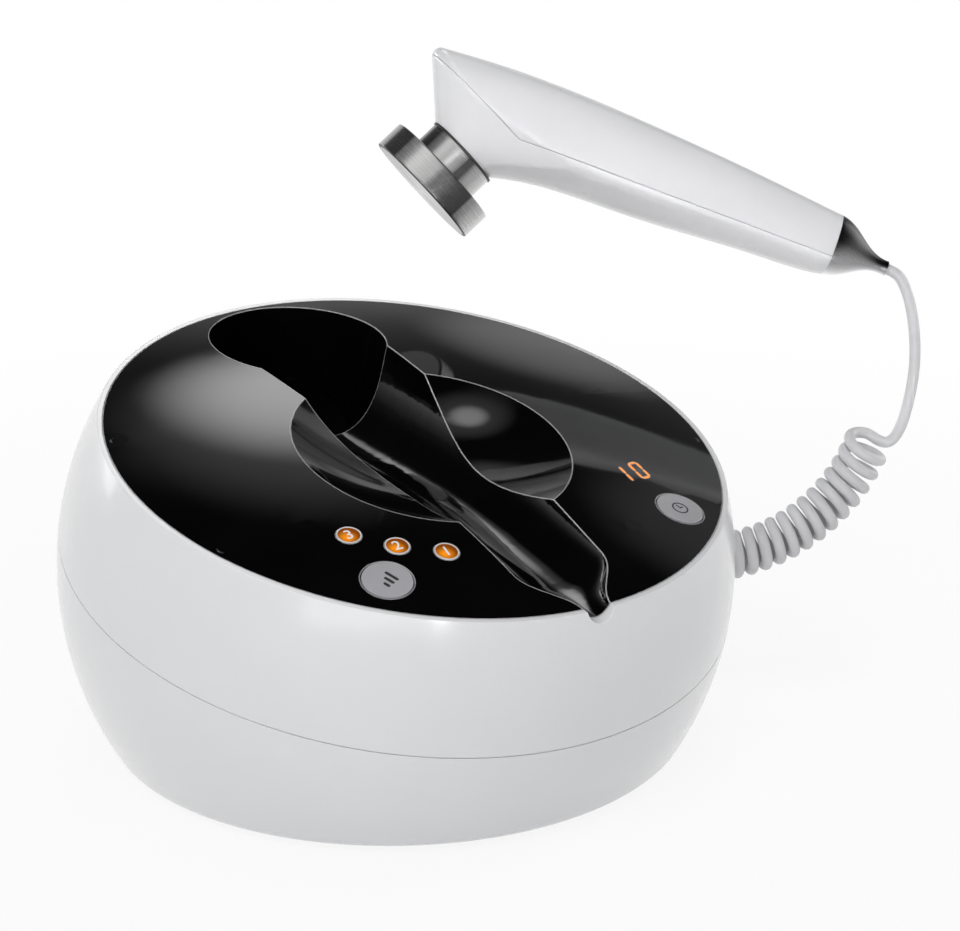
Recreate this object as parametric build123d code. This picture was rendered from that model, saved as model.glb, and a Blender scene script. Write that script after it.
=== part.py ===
from build123d import *
import math
import os

# Radio frequency beauty machine: a round white body with a black domed deck, a cradle in
# the deck, two keys, three lights, two figures, and a handpiece on a curly cord.
# Millimetres, +Z up. The origin is on the ground under the body's centre, +Y is the back.
# The deck frame has its origin at the body's centre and its z square to the tilted rim;
# x is to the right and y up the slope. The held frame is the leaning plane in which the
# lifted handpiece and its cord lie: x to the right, y up, z forward.

# Round body
BODY_R = 118.0
BODY_CENTRE_Z = 63.0
TILT = 15.0
RIM_H = 47.6
SPLIT_H = 4.0
SEAM_GAP = 0.3
SHELL_T = 3.0
FLOOR_T = 3.0
BASE_EDGE_R = 7.0
LIP_W = 1.7
LEDGE_W = 3.5
LEDGE_T = 2.5
LAP_T = 1.4
LAP_H = 3.0
FIT_GAP = 0.15
AIR_SLOTS = 7
AIR_SLOT_L, AIR_SLOT_W, AIR_SLOT_PITCH = 30.0, 3.0, 9.0
AIR_SLOT_Y = -26.0

# Feet: one in the middle and a ring of four
FOOT_R = 8.0
FOOT_PROUD = 1.5
FOOT_SUNK = 1.2
FOOT_RING_INSET = 40.0
FOOT_ANGLES = (45, 135, 225, 315)

# Deck panel
PANEL_T = 2.5
DOME_RISE = 9.0

# Cradle, in the deck frame
CRADLE_X = -4.0
CRADLE_T = 1.5
CRADLE_GAP = 3.4
WELL_R = 32.0
WELL_INSET = 1.9
WELL_FLOOR_H = -6.0
WELL_DRAFT = 3.0
WELL_FLOOR_R = 6.0
BOWL_Y = -14.7
BOWL_RIM_R = 51.0
BOWL_DEPTH = 13.5
NOTCH_HALF_W = 5.6
NOTCH_FLOOR_H = 43.6
TROUGH_END_INSET = 22.1
TROUGH_START_INSET = 18.2
TROUGH_START_H, TROUGH_END_H = 26.5, 42.0
TROUGH_FLOOR = ((20.0, 31.5), (-20.0, 37.5), (-58.0, 41.0))
NOTCH_STEPS = ((9.0, 0.3), (17.0, 0.85), (25.0, 1.0))
NOTCH_RUN = 20.0
PAD_R = 21.0
PAD_T = 3.0

# Keys
KEY_INSET = 13.5
LEVEL_ANGLE = 230.0
TIME_ANGLE = 308.5
KEY_R = 8.0
KEY_PROUD = 0.3
KEY_EDGE_R = 0.25
KEY_TRAVEL = 1.0
KEY_GAP = 0.4
KEY_FLANGE_W = 0.9
KEY_FLANGE_T = 1.0
PLUNGER_R = 1.7
PLUNGER_IN = 0.9
SWITCH_SIDE = 7.0
SWITCH_H = 3.4

# Lights and figures
LIGHT_INSET = 30.1
LIGHT_ANGLES = (242.4, 230.7, 219.0)
LIGHT_R = 3.6
BEZEL_W = 0.35
BEZEL_PROUD = 0.25
LIGHT_PROUD = 0.15
LIGHT_FLANGE_W = 0.8
LIGHT_FLANGE_T = 1.0
LIGHT_GAP = 0.05
LED_R = 2.5
DISPLAY_FROM_BOARD = (3.5, 6.1)
DISPLAY_TURN = 8.0
MODULE_W, MODULE_L, MODULE_H = 20.0, 12.0, 8.8
FIGURE_W, FIGURE_H = 3.7, 8.5
FIGURE_PITCH = 8.5
STROKE_W = 0.65
STROKE_GAP = 0.3
FIGURE_SLANT = 10.0
FIGURE_PROUD = 0.05

# Control boards under the deck
BOARD_T = 1.6
CONTROL_BOARD_H = 38.0
CONTROL_BOARD_X = 50.0
CONTROL_BOARD_INSET = 49.6
CONTROL_BOARD_W, CONTROL_BOARD_L = 44.0, 45.0
POSTS_FROM_BOARD = ((18.0, 18.5), (-17.0, 17.5), (-16.0, -19.7))
CONTROL_POST_R = 3.0
CONTROL_SCREW_L = 6.0

# Screws, with a gap between each shank and its hole
SCREW_R = 1.4
SCREW_HEAD_R = 2.7
SCREW_HEAD_T = 1.8
SCREW_GAP = 0.1
SCREW_END_GAP = 0.3
POST_R = 4.5
BOSS_L = 22.0
SHELL_SCREW_INSET = 32.0
SHELL_SCREW_ANGLES = (38.0, 142.0, 218.0, 322.0)
SHELL_SCREW_L = 14.0
POST_TOP_BELOW_SPLIT = 8.0
POST_CAP_T = 4.0
PANEL_SCREW_ANGLES = (20.0, 160.0, 200.0, 340.0)
PANEL_SCREW_L = 4.8

# Main board and what stands on it, as x, y from the board's centre
MAIN_BOARD_W, MAIN_BOARD_L = 112.0, 84.0
MAIN_BOARD_Z = 12.0
MAIN_BOARD_Y = -6.0
BOARD_HOLE_INSET = 5.0
BOARD_SCREW_L = 7.0
CORE_W, CORE_L, CORE_H = 44.0, 30.0, 34.0
TRANSFORMER_AT = (-26.0, 12.0)
COIL_FORMER_T = 7.0
SINK_W, SINK_L, SINK_H = 46.0, 14.0, 26.0
SINK_FINS = 8
SINK_AT = (22.0, -28.0)
TRANSISTOR_W, TRANSISTOR_T, TRANSISTOR_H = 10.0, 4.5, 16.0
RING_MAJOR_R, RING_MINOR_R = 12.0, 5.0
RING_AT = (36.0, 18.0)
CAPACITOR_R, CAPACITOR_H = 6.5, 22.0
CAPACITORS_AT = ((8.0, 26.0), (8.0, 11.0), (8.0, -4.0))
RELAY_W, RELAY_L, RELAY_H = 19.0, 15.0, 15.0
RELAY_AT = (-30.0, -30.0)
SOCKETS_AT = ((-48.0, -14.0), (50.0, -6.0), (-10.0, -30.0))
PLUG_W, PLUG_L, PLUG_H = 10.0, 6.0, 7.0
PANEL_CABLE_UP, PANEL_CABLE_DOWN, PANEL_CABLE_BEND_R = 16.0, 12.0, 5.0
HAND_CABLE_UP, HAND_CABLE_IN, HAND_CABLE_BEND_R = 26.0, 34.0, 6.0

# Power socket and rocker at the back
POWER_X, ROCKER_X = 18.0, -20.0
REAR_Z = 31.0
REAR_INSET = 14.0
REAR_LAND_W, REAR_LAND_H = 84.0, 34.0
POWER_W, POWER_H, POWER_DEPTH = 25.0, 18.0, 22.0
POWER_WALL = 2.5
PIN_R = 1.2
PIN_SPACING = 8.6
FLANGE_W = 2.0
FLANGE_T = 2.0
ROCKER_W = 13.0
ROCKER_R = 8.2
ROCKER_PROUD = 3.0
ROCKER_THROW = 14.0
ROCKER_GAP = 0.3
ROCKER_PIN_R = 1.2
HOUSING_WALL = 2.0
HOUSING_DEPTH = 14.0

# Plane in which the lifted handpiece is held
HELD_TURN = -36.6
HELD_LEAN = 17.65
HELD_BACK = 54.0

# Handpiece, in its own frame: origin at the tail joint, x forward along the handle, z up
HAND_X, HAND_Y = 161.5, 115.9
HAND_DIP = 20.0
HAND_WALL = 2.2
HAND_SEAM = 0.15
HAND_SPLIT_Z = -6.2
HAND_SPLIT_BEND_X = 123.5
NOSE_X, NOSE_Z = 165.8, 15.3
TAIL_HALF_W = 14.5
HEAD_HALF_W = 23.0
HEAD_X = 118.0
HAND_STATIONS = ((-2.0, 11.3, -11.25), (27.0, 14.4, -13.5), (56.0, 17.1, -15.1), (85.0, 19.2, -16.1),
                 (114.0, 20.6, -17.2), (143.0, 20.4, -24.5), (172.0, 18.6, -27.0))
NECK_X, NECK_Z = 142.6, -14.8
NECK_LEAN = 26.6
NECK_R = 14.5
NECK_L = 10.3
NECK_WALL = 2.0
NECK_INSERT_L = 6.0
HEAD_RISE = 18.4
HEAD_SHIFT = 4.0
HEAD_FRONT, HEAD_REAR, HEAD_SIDE = 32.6, 60.0, 23.2
HEAD_TOP = 100.0
HEAD_EDGE_R = 3.2
RING_T = 0.8
RING_W = 0.5
DISC_R = 23.7
DISC_T = 11.6
DISC_DOME = 0.5
DISC_EDGE_R = 0.6
DISC_WALL = 2.0
CONE_STATIONS = ((0.0, 11.5, -11.4, 14.5), (-7.2, 8.6, -9.3, 11.0), (-14.0, 3.7, -5.4, 5.6),
                 (-22.4, 1.15, -4.55, 2.85))
CONE_L = 22.4
CONE_END_Z = -1.7
CONE_PLUG_L = 5.0
HAND_BOARD_X, HAND_BOARD_L, HAND_BOARD_W = 38.0, 46.0, 20.0
HAND_BOARD_Z = -6.5
HAND_RIB_XS = (45.0, 77.0)
HAND_SCREWS = ((28.0, 8.0), (28.0, -8.0), (94.0, 10.0), (94.0, -10.0))
HAND_POST_R = 3.2
HAND_SCREW_R = 1.1
HAND_HEAD_R = 2.0
HAND_SCREW_L = 10.0
HAND_SEAT_UP = 5.5
WIRE_R = 1.5
HAND_WIRE_BEND_R = 6.0
HAND_WIRE_OUT, HAND_WIRE_UP = 20.0, 14.0

# Curly cord and its inner lead
CORD_D = 4.2
CURL_R = 7.0
CURL_TURNS = 13.5
CURL_BEND_R = 70.0
CURL_END_ANGLE = 68.5
CURL_SPREAD = 0.02
CURL_LEAD_IN = 6.5
GLAND_R = 6.0
GLAND_L = 16.0
GLAND_INSET = 8.0
GLAND_Y = -2.5
LEAD_ROUTE = [(181.99, 106.63, 0), (185.94, 105.19, 0), (188.7, 100.93, 0), (191.07, 93.79, -0.2),
              (192.83, 83.27, -0.7), (193.46, 71.63, -1.6), (192.3, 59.6, -3.0), (188.3, 49.2, -4.6)]
LEAD_ARC_SHARE = 0.45

os.makedirs("parts", exist_ok=True)
BIG = 400.0


def sin(degrees):
    return math.sin(math.radians(degrees))


def cos(degrees):
    return math.cos(math.radians(degrees))


def tan(degrees):
    return math.tan(math.radians(degrees))


DECK = Plane(origin=(0, 0, BODY_CENTRE_Z), x_dir=(1, 0, 0), z_dir=(0, -sin(TILT), cos(TILT))).location
HELD_Z = Vector(sin(HELD_TURN) * cos(HELD_LEAN), -cos(HELD_TURN) * cos(HELD_LEAN), sin(HELD_LEAN))
HELD = Plane(origin=Vector(0, 0, BODY_CENTRE_Z) - HELD_Z * HELD_BACK,
             x_dir=(cos(HELD_TURN), sin(HELD_TURN), 0), z_dir=HELD_Z).location
HAND = HELD * Plane(origin=(HAND_X, HAND_Y, 0), x_dir=(-cos(HAND_DIP), sin(HAND_DIP), 0),
                    z_dir=(sin(HAND_DIP), cos(HAND_DIP), 0)).location
NECK = Plane(origin=(NECK_X, 0, NECK_Z), x_dir=(cos(NECK_LEAN), 0, sin(NECK_LEAN)),
             z_dir=(sin(NECK_LEAN), 0, -cos(NECK_LEAN))).location

RIM_R = math.sqrt(BODY_R**2 - RIM_H**2)
PANEL_R = RIM_R - LIP_W - FIT_GAP
DOME_R = (PANEL_R**2 + DOME_RISE**2) / (2 * DOME_RISE)
DOME_CENTRE_H = RIM_H + DOME_RISE - DOME_R
LEDGE_H = RIM_H - PANEL_T
LEDGE_LOW_H = LEDGE_H - LEDGE_T
LEDGE_R = RIM_R - LIP_W - LEDGE_W
SECTION_SPLIT_Z = HAND_SPLIT_Z - HAND_SEAM / 2
INNER_R = BODY_R - SHELL_T
FOOT_RING_R = BODY_R - FOOT_RING_INSET
SHELL_SCREW_RING_R = BODY_R - SHELL_SCREW_INSET
REAR_FACE_Y = BODY_R - REAR_INSET
GLAND_FACE_X = BODY_R - GLAND_INSET
WELL_Y = PANEL_R - WELL_R - WELL_INSET
TROUGH_START_Y = WELL_Y - TROUGH_START_INSET
TROUGH_END_Y = TROUGH_END_INSET - PANEL_R
KEY_RING_R = PANEL_R - KEY_INSET
LIGHT_RING_R = PANEL_R - LIGHT_INSET
CONTROL_BOARD_Y = CONTROL_BOARD_INSET - PANEL_R
CONTROL_POSTS = [(CONTROL_BOARD_X + x, CONTROL_BOARD_Y + y) for x, y in POSTS_FROM_BOARD]
DISPLAY_X = CONTROL_BOARD_X + DISPLAY_FROM_BOARD[0]
DISPLAY_Y = CONTROL_BOARD_Y + DISPLAY_FROM_BOARD[1]
BOARD_TOP_H = CONTROL_BOARD_H + BOARD_T
MAIN_TOP_Z = MAIN_BOARD_Z + BOARD_T


def write(shape, name):
    shape.label = name
    export_step(shape, f"parts/{name}.step")


def group(shapes):
    return Compound(children=[solid for shape in shapes for solid in shape.solids()])


def turned(points):
    return revolve(Plane.XZ * make_face(Polyline(*points, close=True)), Axis.Z)


def polar(radius, angle, z=0.0):
    return (radius * cos(angle), radius * sin(angle), z)


ON_BASE = (Align.CENTER, Align.CENTER, Align.MIN)


def upright(radius, bottom, top):
    return Pos(0, 0, bottom) * Cylinder(radius, top - bottom, align=ON_BASE)


def block(width, length, bottom, top):
    return Pos(0, 0, (bottom + top) / 2) * Box(width, length, top - bottom)


def dome_height(x, y, grow=0.0):
    return DOME_CENTRE_H + math.sqrt((DOME_R + grow)**2 - x * x - y * y)


def dome_cap(grow, radius, low):
    # solid under the deck's dome, raised by the given amount, down to a level
    apex = dome_height(0, 0, grow)
    edge = dome_height(radius, 0, grow)
    mid_x = radius / 2
    outline = [Polyline((0, apex), (0, low), (radius, low), (radius, edge)),
               ThreePointArc((radius, edge), (mid_x, dome_height(mid_x, 0, grow)), (0, apex))]
    return revolve(Plane.XZ * make_face(outline), Axis.Z)


def oval(half_w, above, below):
    # an upper and a lower half ellipse that meet on the x axis
    return make_face([EllipticalCenterArc((0, 0), half_w, above, start_angle=0, arc_size=180),
                      EllipticalCenterArc((0, 0), half_w, below, start_angle=180, arc_size=180)])


def screw(radius, head_r, length):
    # head below z = 0 with a round recess, shank up to the given length
    head = upright(head_r, -SCREW_HEAD_T, 0) - upright(head_r / 2, -SCREW_HEAD_T, -SCREW_HEAD_T / 2)
    return head + upright(radius, 0, length)


def above_deck_level(height):
    return DECK * block(BIG, BIG, height, height + BIG)


# Cradle tools, each grown by a wall thickness or a gap


def well(grow):
    top_h = dome_height(CRADLE_X, WELL_Y)
    floor_h = WELL_FLOOR_H - grow
    draft = tan(WELL_DRAFT)
    top_r = WELL_R + grow
    high_h = top_h + 2 * DOME_RISE
    body = turned([(0, floor_h), (top_r - (top_h - floor_h) * draft, floor_h),
                   (top_r + (high_h - top_h) * draft, high_h), (0, high_h)])
    body = fillet(body.edges().group_by(Axis.Z)[0], WELL_FLOOR_R + grow)
    return Pos(CRADLE_X, WELL_Y, 0) * body


def hand_half_width(x):
    return TAIL_HALF_W + (HEAD_HALF_W - TAIL_HALF_W) * min(max(x / HEAD_X, 0), 1)


def trough(grow):
    # half widths follow the docked handle, and the floor rises to the notch
    stations = []
    for y, floor_h in ((TROUGH_START_Y, TROUGH_START_H), *TROUGH_FLOOR, (TROUGH_END_Y, TROUGH_END_H)):
        stations.append((y, hand_half_width(y - TROUGH_END_Y - CONE_L / 2) + CRADLE_GAP, floor_h))
    before_notch = len(stations)
    end_half_w = stations[-1][1]
    for step, share in NOTCH_STEPS:
        floor_h = TROUGH_END_H + (NOTCH_FLOOR_H - TROUGH_END_H) * share
        stations.append((TROUGH_END_Y - step, end_half_w + (NOTCH_HALF_W - end_half_w) * share, floor_h))
    sections = []
    for y, half_w, floor_h in stations:
        centre_h = dome_height(0, max(y, -PANEL_R)) + 2.0
        place = Plane(origin=(CRADLE_X, y, centre_h), x_dir=(1, 0, 0), z_dir=(0, -1, 0))
        sections.append(place * oval(half_w + grow, centre_h - floor_h + grow, centre_h - floor_h + grow))
    main = loft(sections[:before_notch])
    spout = loft(sections[before_notch - 1:]) + extrude(sections[-1], NOTCH_RUN, dir=(0, -1, 0))
    return main + spout


def bowl(grow):
    radius = (BOWL_RIM_R**2 + BOWL_DEPTH**2) / (2 * BOWL_DEPTH)
    centre_h = dome_height(CRADLE_X, BOWL_Y) - BOWL_DEPTH + radius
    return Pos(CRADLE_X, BOWL_Y, centre_h) * Sphere(radius + grow)


def cradle(grow):
    return well(grow) + trough(grow) + bowl(grow)


# Round body


def body_solid(radius, floor_z, edge_r):
    # the round body, flat and round-edged at the bottom
    hub = Vector(0, BODY_CENTRE_Z)
    flat_x = math.sqrt((radius - edge_r)**2 - (BODY_CENTRE_Z - floor_z - edge_r)**2)
    centre = Vector(flat_x, floor_z + edge_r)
    outward = (centre - hub).normalized()
    touch = hub + outward * radius
    middle = centre + (outward + Vector(0, -1)).normalized() * edge_r
    outline = [Line((0, floor_z), (flat_x, floor_z)),
               ThreePointArc((flat_x, floor_z), (middle.X, middle.Y), (touch.X, touch.Y)),
               ThreePointArc((touch.X, touch.Y), (radius, BODY_CENTRE_Z), (0, BODY_CENTRE_Z + radius)),
               Line((0, BODY_CENTRE_Z + radius), (0, floor_z))]
    return revolve(Plane.XZ * make_face(outline), Axis.Z)


def split_z(y):
    return BODY_CENTRE_Z + (SPLIT_H + y * sin(TILT)) / cos(TILT)


def post_places():
    for angle in SHELL_SCREW_ANGLES:
        x, y, _ = polar(SHELL_SCREW_RING_R, angle)
        yield x, y, split_z(y) - POST_TOP_BELOW_SPLIT, angle


def board_holes():
    half_w = MAIN_BOARD_W / 2 - BOARD_HOLE_INSET
    half_l = MAIN_BOARD_L / 2 - BOARD_HOLE_INSET
    return [(side * half_w, MAIN_BOARD_Y + end * half_l) for side in (-1, 1) for end in (-1, 1)]


def gland_rod(radius, start, end):
    rod = Cylinder(radius, end - start, rotation=(0, 90, 0), align=ON_BASE)
    return HELD * Pos(start, GLAND_Y, 0) * rod


def rear_block(x, width, height, inner, outer):
    # a block between two depths measured outward from the rear land
    return Pos(x, REAR_FACE_Y + (inner + outer) / 2, REAR_Z) * Box(width, outer - inner, height)


def foot_places():
    return [Pos(0, 0, 0)] + [Pos(*polar(FOOT_RING_R, angle)) for angle in FOOT_ANGLES]


def lower_shell():
    shell = body_solid(BODY_R, FOOT_PROUD, BASE_EDGE_R)
    shell -= body_solid(INNER_R, FOOT_PROUD + FLOOR_T, BASE_EDGE_R - SHELL_T)
    backing = rear_block(0, REAR_LAND_W + 2 * SHELL_T, REAR_LAND_H + 2 * SHELL_T, -SHELL_T, BIG)
    shell += backing & body_solid(BODY_R - SHELL_T / 2, FOOT_PROUD, BASE_EDGE_R)
    shell -= rear_block(0, REAR_LAND_W, REAR_LAND_H, 0, BIG)
    shell -= above_deck_level(SPLIT_H - SEAM_GAP)
    lap_low = SPLIT_H - LAP_H - FIT_GAP
    lap_r = INNER_R + LAP_T + FIT_GAP
    shell -= DECK * (upright(lap_r, lap_low, SPLIT_H) - upright(INNER_R - SHELL_T, lap_low, SPLIT_H))
    for x, width, height in ((POWER_X, POWER_W, POWER_H), (ROCKER_X, housing_width(), housing_height())):
        shell -= rear_block(x, width + 2 * FIT_GAP, height + 2 * FIT_GAP, -2 * SHELL_T, 2 * SHELL_T)
    for x, y, top, _ in post_places():
        shell += Pos(x, y, 0) * upright(POST_R, FOOT_PROUD + FLOOR_T / 2, top)
        shell -= Pos(x, y, 0) * upright(SCREW_HEAD_R + 2 * SCREW_GAP, 0, top - POST_CAP_T)
        shell -= Pos(x, y, 0) * upright(SCREW_R + SCREW_GAP, 0, top + 1)
    for x, y in board_holes():
        shell += Pos(x, y, 0) * upright(POST_R, FOOT_PROUD + FLOOR_T / 2, MAIN_BOARD_Z)
        hole_low = MAIN_TOP_Z - BOARD_SCREW_L - SCREW_END_GAP
        shell -= Pos(x, y, 0) * upright(SCREW_R + SCREW_GAP, hole_low, MAIN_TOP_Z)
    for place in foot_places():
        shell -= place * upright(FOOT_R + FIT_GAP, 0, FOOT_PROUD + FOOT_SUNK)
    slot = extrude(SlotOverall(AIR_SLOT_L, AIR_SLOT_W, rotation=90), FOOT_PROUD + FLOOR_T + 1)
    for i in range(AIR_SLOTS):
        shell -= Pos((i - (AIR_SLOTS - 1) / 2) * AIR_SLOT_PITCH, AIR_SLOT_Y, 0) * slot
    return shell - gland_rod(GLAND_R + FIT_GAP, GLAND_FACE_X - 2 * GLAND_L, GLAND_FACE_X + GLAND_L)


def upper_shell():
    inner_low = math.sqrt(INNER_R**2 - (SPLIT_H - LAP_H)**2)
    split_r = math.sqrt(BODY_R**2 - SPLIT_H**2)
    mid_h = (SPLIT_H + RIM_H) / 2
    lip_r = RIM_R - LIP_W
    wall_r = math.sqrt(INNER_R**2 - LEDGE_LOW_H**2)
    lap_r = INNER_R + LAP_T
    outline = [ThreePointArc((split_r, SPLIT_H), (math.sqrt(BODY_R**2 - mid_h**2), mid_h), (RIM_R, RIM_H)),
               Polyline((RIM_R, RIM_H), (lip_r, RIM_H), (lip_r, LEDGE_H), (LEDGE_R, LEDGE_H),
                        (LEDGE_R, LEDGE_LOW_H), (wall_r, LEDGE_LOW_H)),
               ThreePointArc((wall_r, LEDGE_LOW_H), (math.sqrt(INNER_R**2 - mid_h**2), mid_h),
                             (inner_low, SPLIT_H - LAP_H)),
               Polyline((inner_low, SPLIT_H - LAP_H), (lap_r, SPLIT_H - LAP_H),
                        (lap_r, SPLIT_H), (split_r, SPLIT_H))]
    shell = revolve(Plane.XZ * make_face(outline), Axis.Z)
    for angle in PANEL_SCREW_ANGLES:
        shell += Pos(*polar(LEDGE_R, angle)) * upright(POST_R, LEDGE_LOW_H, LEDGE_H)
        shell -= Pos(*polar(LEDGE_R, angle)) * upright(SCREW_R + SCREW_GAP, LEDGE_LOW_H - 1, LEDGE_H + 1)
    shell -= cradle(CRADLE_T + 2 * FIT_GAP) & upright(PANEL_R + FIT_GAP, WELL_FLOOR_H - 10, BODY_R)
    shell -= trough(0)
    shell = DECK * shell
    hollow = body_solid(INNER_R + SHELL_T / 2, FOOT_PROUD, BASE_EDGE_R)
    for x, y, bottom, angle in post_places():
        boss = Pos(x, y, 0) * upright(POST_R, bottom, bottom + BOSS_L)
        reach = BODY_R - SHELL_SCREW_RING_R
        rib = Pos(x, y, 0) * Rot(0, 0, angle) * Pos(reach / 2, 0, 0) * block(
            reach, SHELL_T, bottom + POST_TOP_BELOW_SPLIT, bottom + BOSS_L)
        shell += boss + (rib & hollow & above_deck_level(SPLIT_H + FIT_GAP))
        shell -= Pos(x, y, 0) * upright(SCREW_R + SCREW_GAP, bottom - 1, bottom + SHELL_SCREW_L)
    return shell


def feet():
    return group([place * upright(FOOT_R, 0, FOOT_PROUD + FOOT_SUNK) for place in foot_places()])


def shell_screws():
    return group([Pos(x, y, top - POST_CAP_T) * screw(SCREW_R, SCREW_HEAD_R, SHELL_SCREW_L)
                  for x, y, top, _ in post_places()])


def panel_screws():
    return group([DECK * Pos(*polar(LEDGE_R, angle, LEDGE_LOW_H)) * screw(
        SCREW_R, SCREW_HEAD_R, PANEL_SCREW_L) for angle in PANEL_SCREW_ANGLES])


# Deck panel and its controls


def key_place(angle):
    return Pos(*polar(KEY_RING_R, angle))


def figure_strokes(grow):
    # a one and a nought in bars, slanted, as flat outlines about the middle of the pair
    half_w, half_h = FIGURE_W / 2, FIGURE_H / 2
    lean = tan(FIGURE_SLANT)
    strokes = []

    def bar(x, y0, x1, y1):
        start = Vector(x + y0 * lean, y0)
        end = Vector(x1 + y1 * lean, y1)
        along = (end - start).normalized()
        start += along * STROKE_GAP
        end -= along * STROKE_GAP
        across = Vector(-along.Y, along.X) * (STROKE_W / 2 + grow)
        nose = along * (STROKE_W / 2 + grow)
        start -= along * grow
        end += along * grow
        points = [start, start + nose + across, end - nose + across]
        points += [end, end - nose - across, start + nose - across]
        strokes.append(make_face(Polyline(*[(p.X, p.Y) for p in points], close=True)))

    one_x = -FIGURE_PITCH / 2 + half_w
    bar(one_x, 0, one_x, half_h)
    bar(one_x, -half_h, one_x, 0)
    left, right = FIGURE_PITCH / 2 - half_w, FIGURE_PITCH / 2 + half_w
    bar(left, half_h, right, half_h)
    bar(left, -half_h, right, -half_h)
    for x in (left, right):
        bar(x, 0, x, half_h)
        bar(x, -half_h, x, 0)
    return strokes


def figure_bars(grow, bottom, top):
    place = Pos(DISPLAY_X, DISPLAY_Y, bottom) * Rot(0, 0, DISPLAY_TURN)
    return [place * extrude(stroke, top - bottom) for stroke in figure_strokes(grow)]


def top_panel():
    skin = dome_cap(0, PANEL_R, LEDGE_H) - dome_cap(-PANEL_T, LEDGE_R, LEDGE_H - 1)
    posts = [Pos(side * x, y, 0) * upright(CONTROL_POST_R, BOARD_TOP_H, BODY_R)
             for side in (-1, 1) for x, y in CONTROL_POSTS]
    posts += [Pos(*polar(LEDGE_R, angle)) * upright(POST_R, LEDGE_H, BODY_R)
              for angle in PANEL_SCREW_ANGLES]
    tray = cradle(CRADLE_T)
    for post in posts:
        tray += post
    panel = skin + (tray & dome_cap(0, PANEL_R, WELL_FLOOR_H - 2 * CRADLE_T)) - cradle(0)
    for side in (-1, 1):
        for x, y in CONTROL_POSTS:
            top = CONTROL_BOARD_H + CONTROL_SCREW_L + SCREW_END_GAP
            panel -= Pos(side * x, y, 0) * upright(SCREW_R + SCREW_GAP, 0, top)
    for angle in PANEL_SCREW_ANGLES:
        top = LEDGE_LOW_H + PANEL_SCREW_L + SCREW_END_GAP
        panel -= Pos(*polar(LEDGE_R, angle)) * upright(SCREW_R + SCREW_GAP, 0, top)
    for angle in (LEVEL_ANGLE, TIME_ANGLE):
        panel -= key_place(angle) * upright(KEY_R + KEY_GAP, LEDGE_LOW_H, BODY_R)
    for angle in LIGHT_ANGLES:
        hole = upright(LIGHT_R + BEZEL_W + LIGHT_GAP, LEDGE_LOW_H, BODY_R)
        panel -= Pos(*polar(LIGHT_RING_R, angle)) * hole
    for slot in figure_bars(LIGHT_GAP, BOARD_TOP_H + MODULE_H, BODY_R):
        panel -= slot
    return DECK * panel


def key_bottom():
    return dome_height(KEY_RING_R + KEY_R + KEY_FLANGE_W, 0) - PANEL_T - FIT_GAP - KEY_FLANGE_T


def key(angle):
    cap = key_place(angle) * upright(KEY_R, key_bottom(), BODY_R) & dome_cap(KEY_PROUD, PANEL_R, 0)
    cap = fillet(cap.faces().sort_by(Axis.Z)[-1].edges(), KEY_EDGE_R)
    flange = key_place(angle) * upright(KEY_R + KEY_FLANGE_W, key_bottom(), BODY_R)
    return DECK * (cap + (flange & dome_cap(-PANEL_T - FIT_GAP, PANEL_R, 0)))


def plunger(angle):
    return DECK * key_place(angle) * upright(PLUNGER_R, BOARD_TOP_H + SWITCH_H - PLUNGER_IN, key_bottom())


def switch(angle):
    bore_h = BOARD_TOP_H + SWITCH_H - PLUNGER_IN - KEY_TRAVEL - SEAM_GAP
    body = block(SWITCH_SIDE, SWITCH_SIDE, BOARD_TOP_H, BOARD_TOP_H + SWITCH_H)
    body -= upright(PLUNGER_R + FIT_GAP, bore_h, BODY_R)
    return DECK * key_place(angle) * body


def light_bottom():
    return dome_height(LIGHT_RING_R, 0) - PANEL_T - LIGHT_FLANGE_T - BEZEL_W


def light(angle):
    place = Pos(*polar(LIGHT_RING_R, angle))
    lens = place * upright(LIGHT_R - LIGHT_GAP, light_bottom(), BODY_R) & dome_cap(LIGHT_PROUD, PANEL_R, 0)
    flange = place * upright(LIGHT_R + BEZEL_W + LIGHT_FLANGE_W, light_bottom(), BODY_R)
    return DECK * (lens + (flange & dome_cap(-PANEL_T - LIGHT_GAP, PANEL_R, 0)))


def bezels():
    rings = []
    for angle in LIGHT_ANGLES:
        ring = upright(LIGHT_R + BEZEL_W, light_bottom(), BODY_R) - upright(LIGHT_R, 0, BODY_R)
        ring = Pos(*polar(LIGHT_RING_R, angle)) * ring & dome_cap(BEZEL_PROUD, PANEL_R, 0)
        rings.append(DECK * (ring - dome_cap(-PANEL_T, PANEL_R, 0)))
    return group(rings)


def leds():
    bodies = []
    for angle in LIGHT_ANGLES:
        top = light_bottom() - FIT_GAP
        body = upright(LED_R, BOARD_TOP_H, top - LED_R)
        body += Pos(0, 0, top - LED_R) * Sphere(LED_R)
        bodies.append(DECK * Pos(*polar(LIGHT_RING_R, angle)) * body)
    return group(bodies)


def display_digits():
    solid = dome_cap(FIGURE_PROUD, PANEL_R, 0)
    return group([DECK * (bar & solid) for bar in figure_bars(0, BOARD_TOP_H + MODULE_H, BODY_R)])


def display_module():
    body = block(MODULE_W, MODULE_L, BOARD_TOP_H, BOARD_TOP_H + MODULE_H)
    return DECK * Pos(DISPLAY_X, DISPLAY_Y, 0) * Rot(0, 0, DISPLAY_TURN) * body


def control_board(side):
    board = Pos(side * CONTROL_BOARD_X, CONTROL_BOARD_Y, 0) * block(
        CONTROL_BOARD_W, CONTROL_BOARD_L, CONTROL_BOARD_H, BOARD_TOP_H)
    for x, y in CONTROL_POSTS:
        board -= Pos(side * x, y, 0) * upright(SCREW_R + SCREW_GAP, 0, BODY_R)
    return DECK * board


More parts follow.
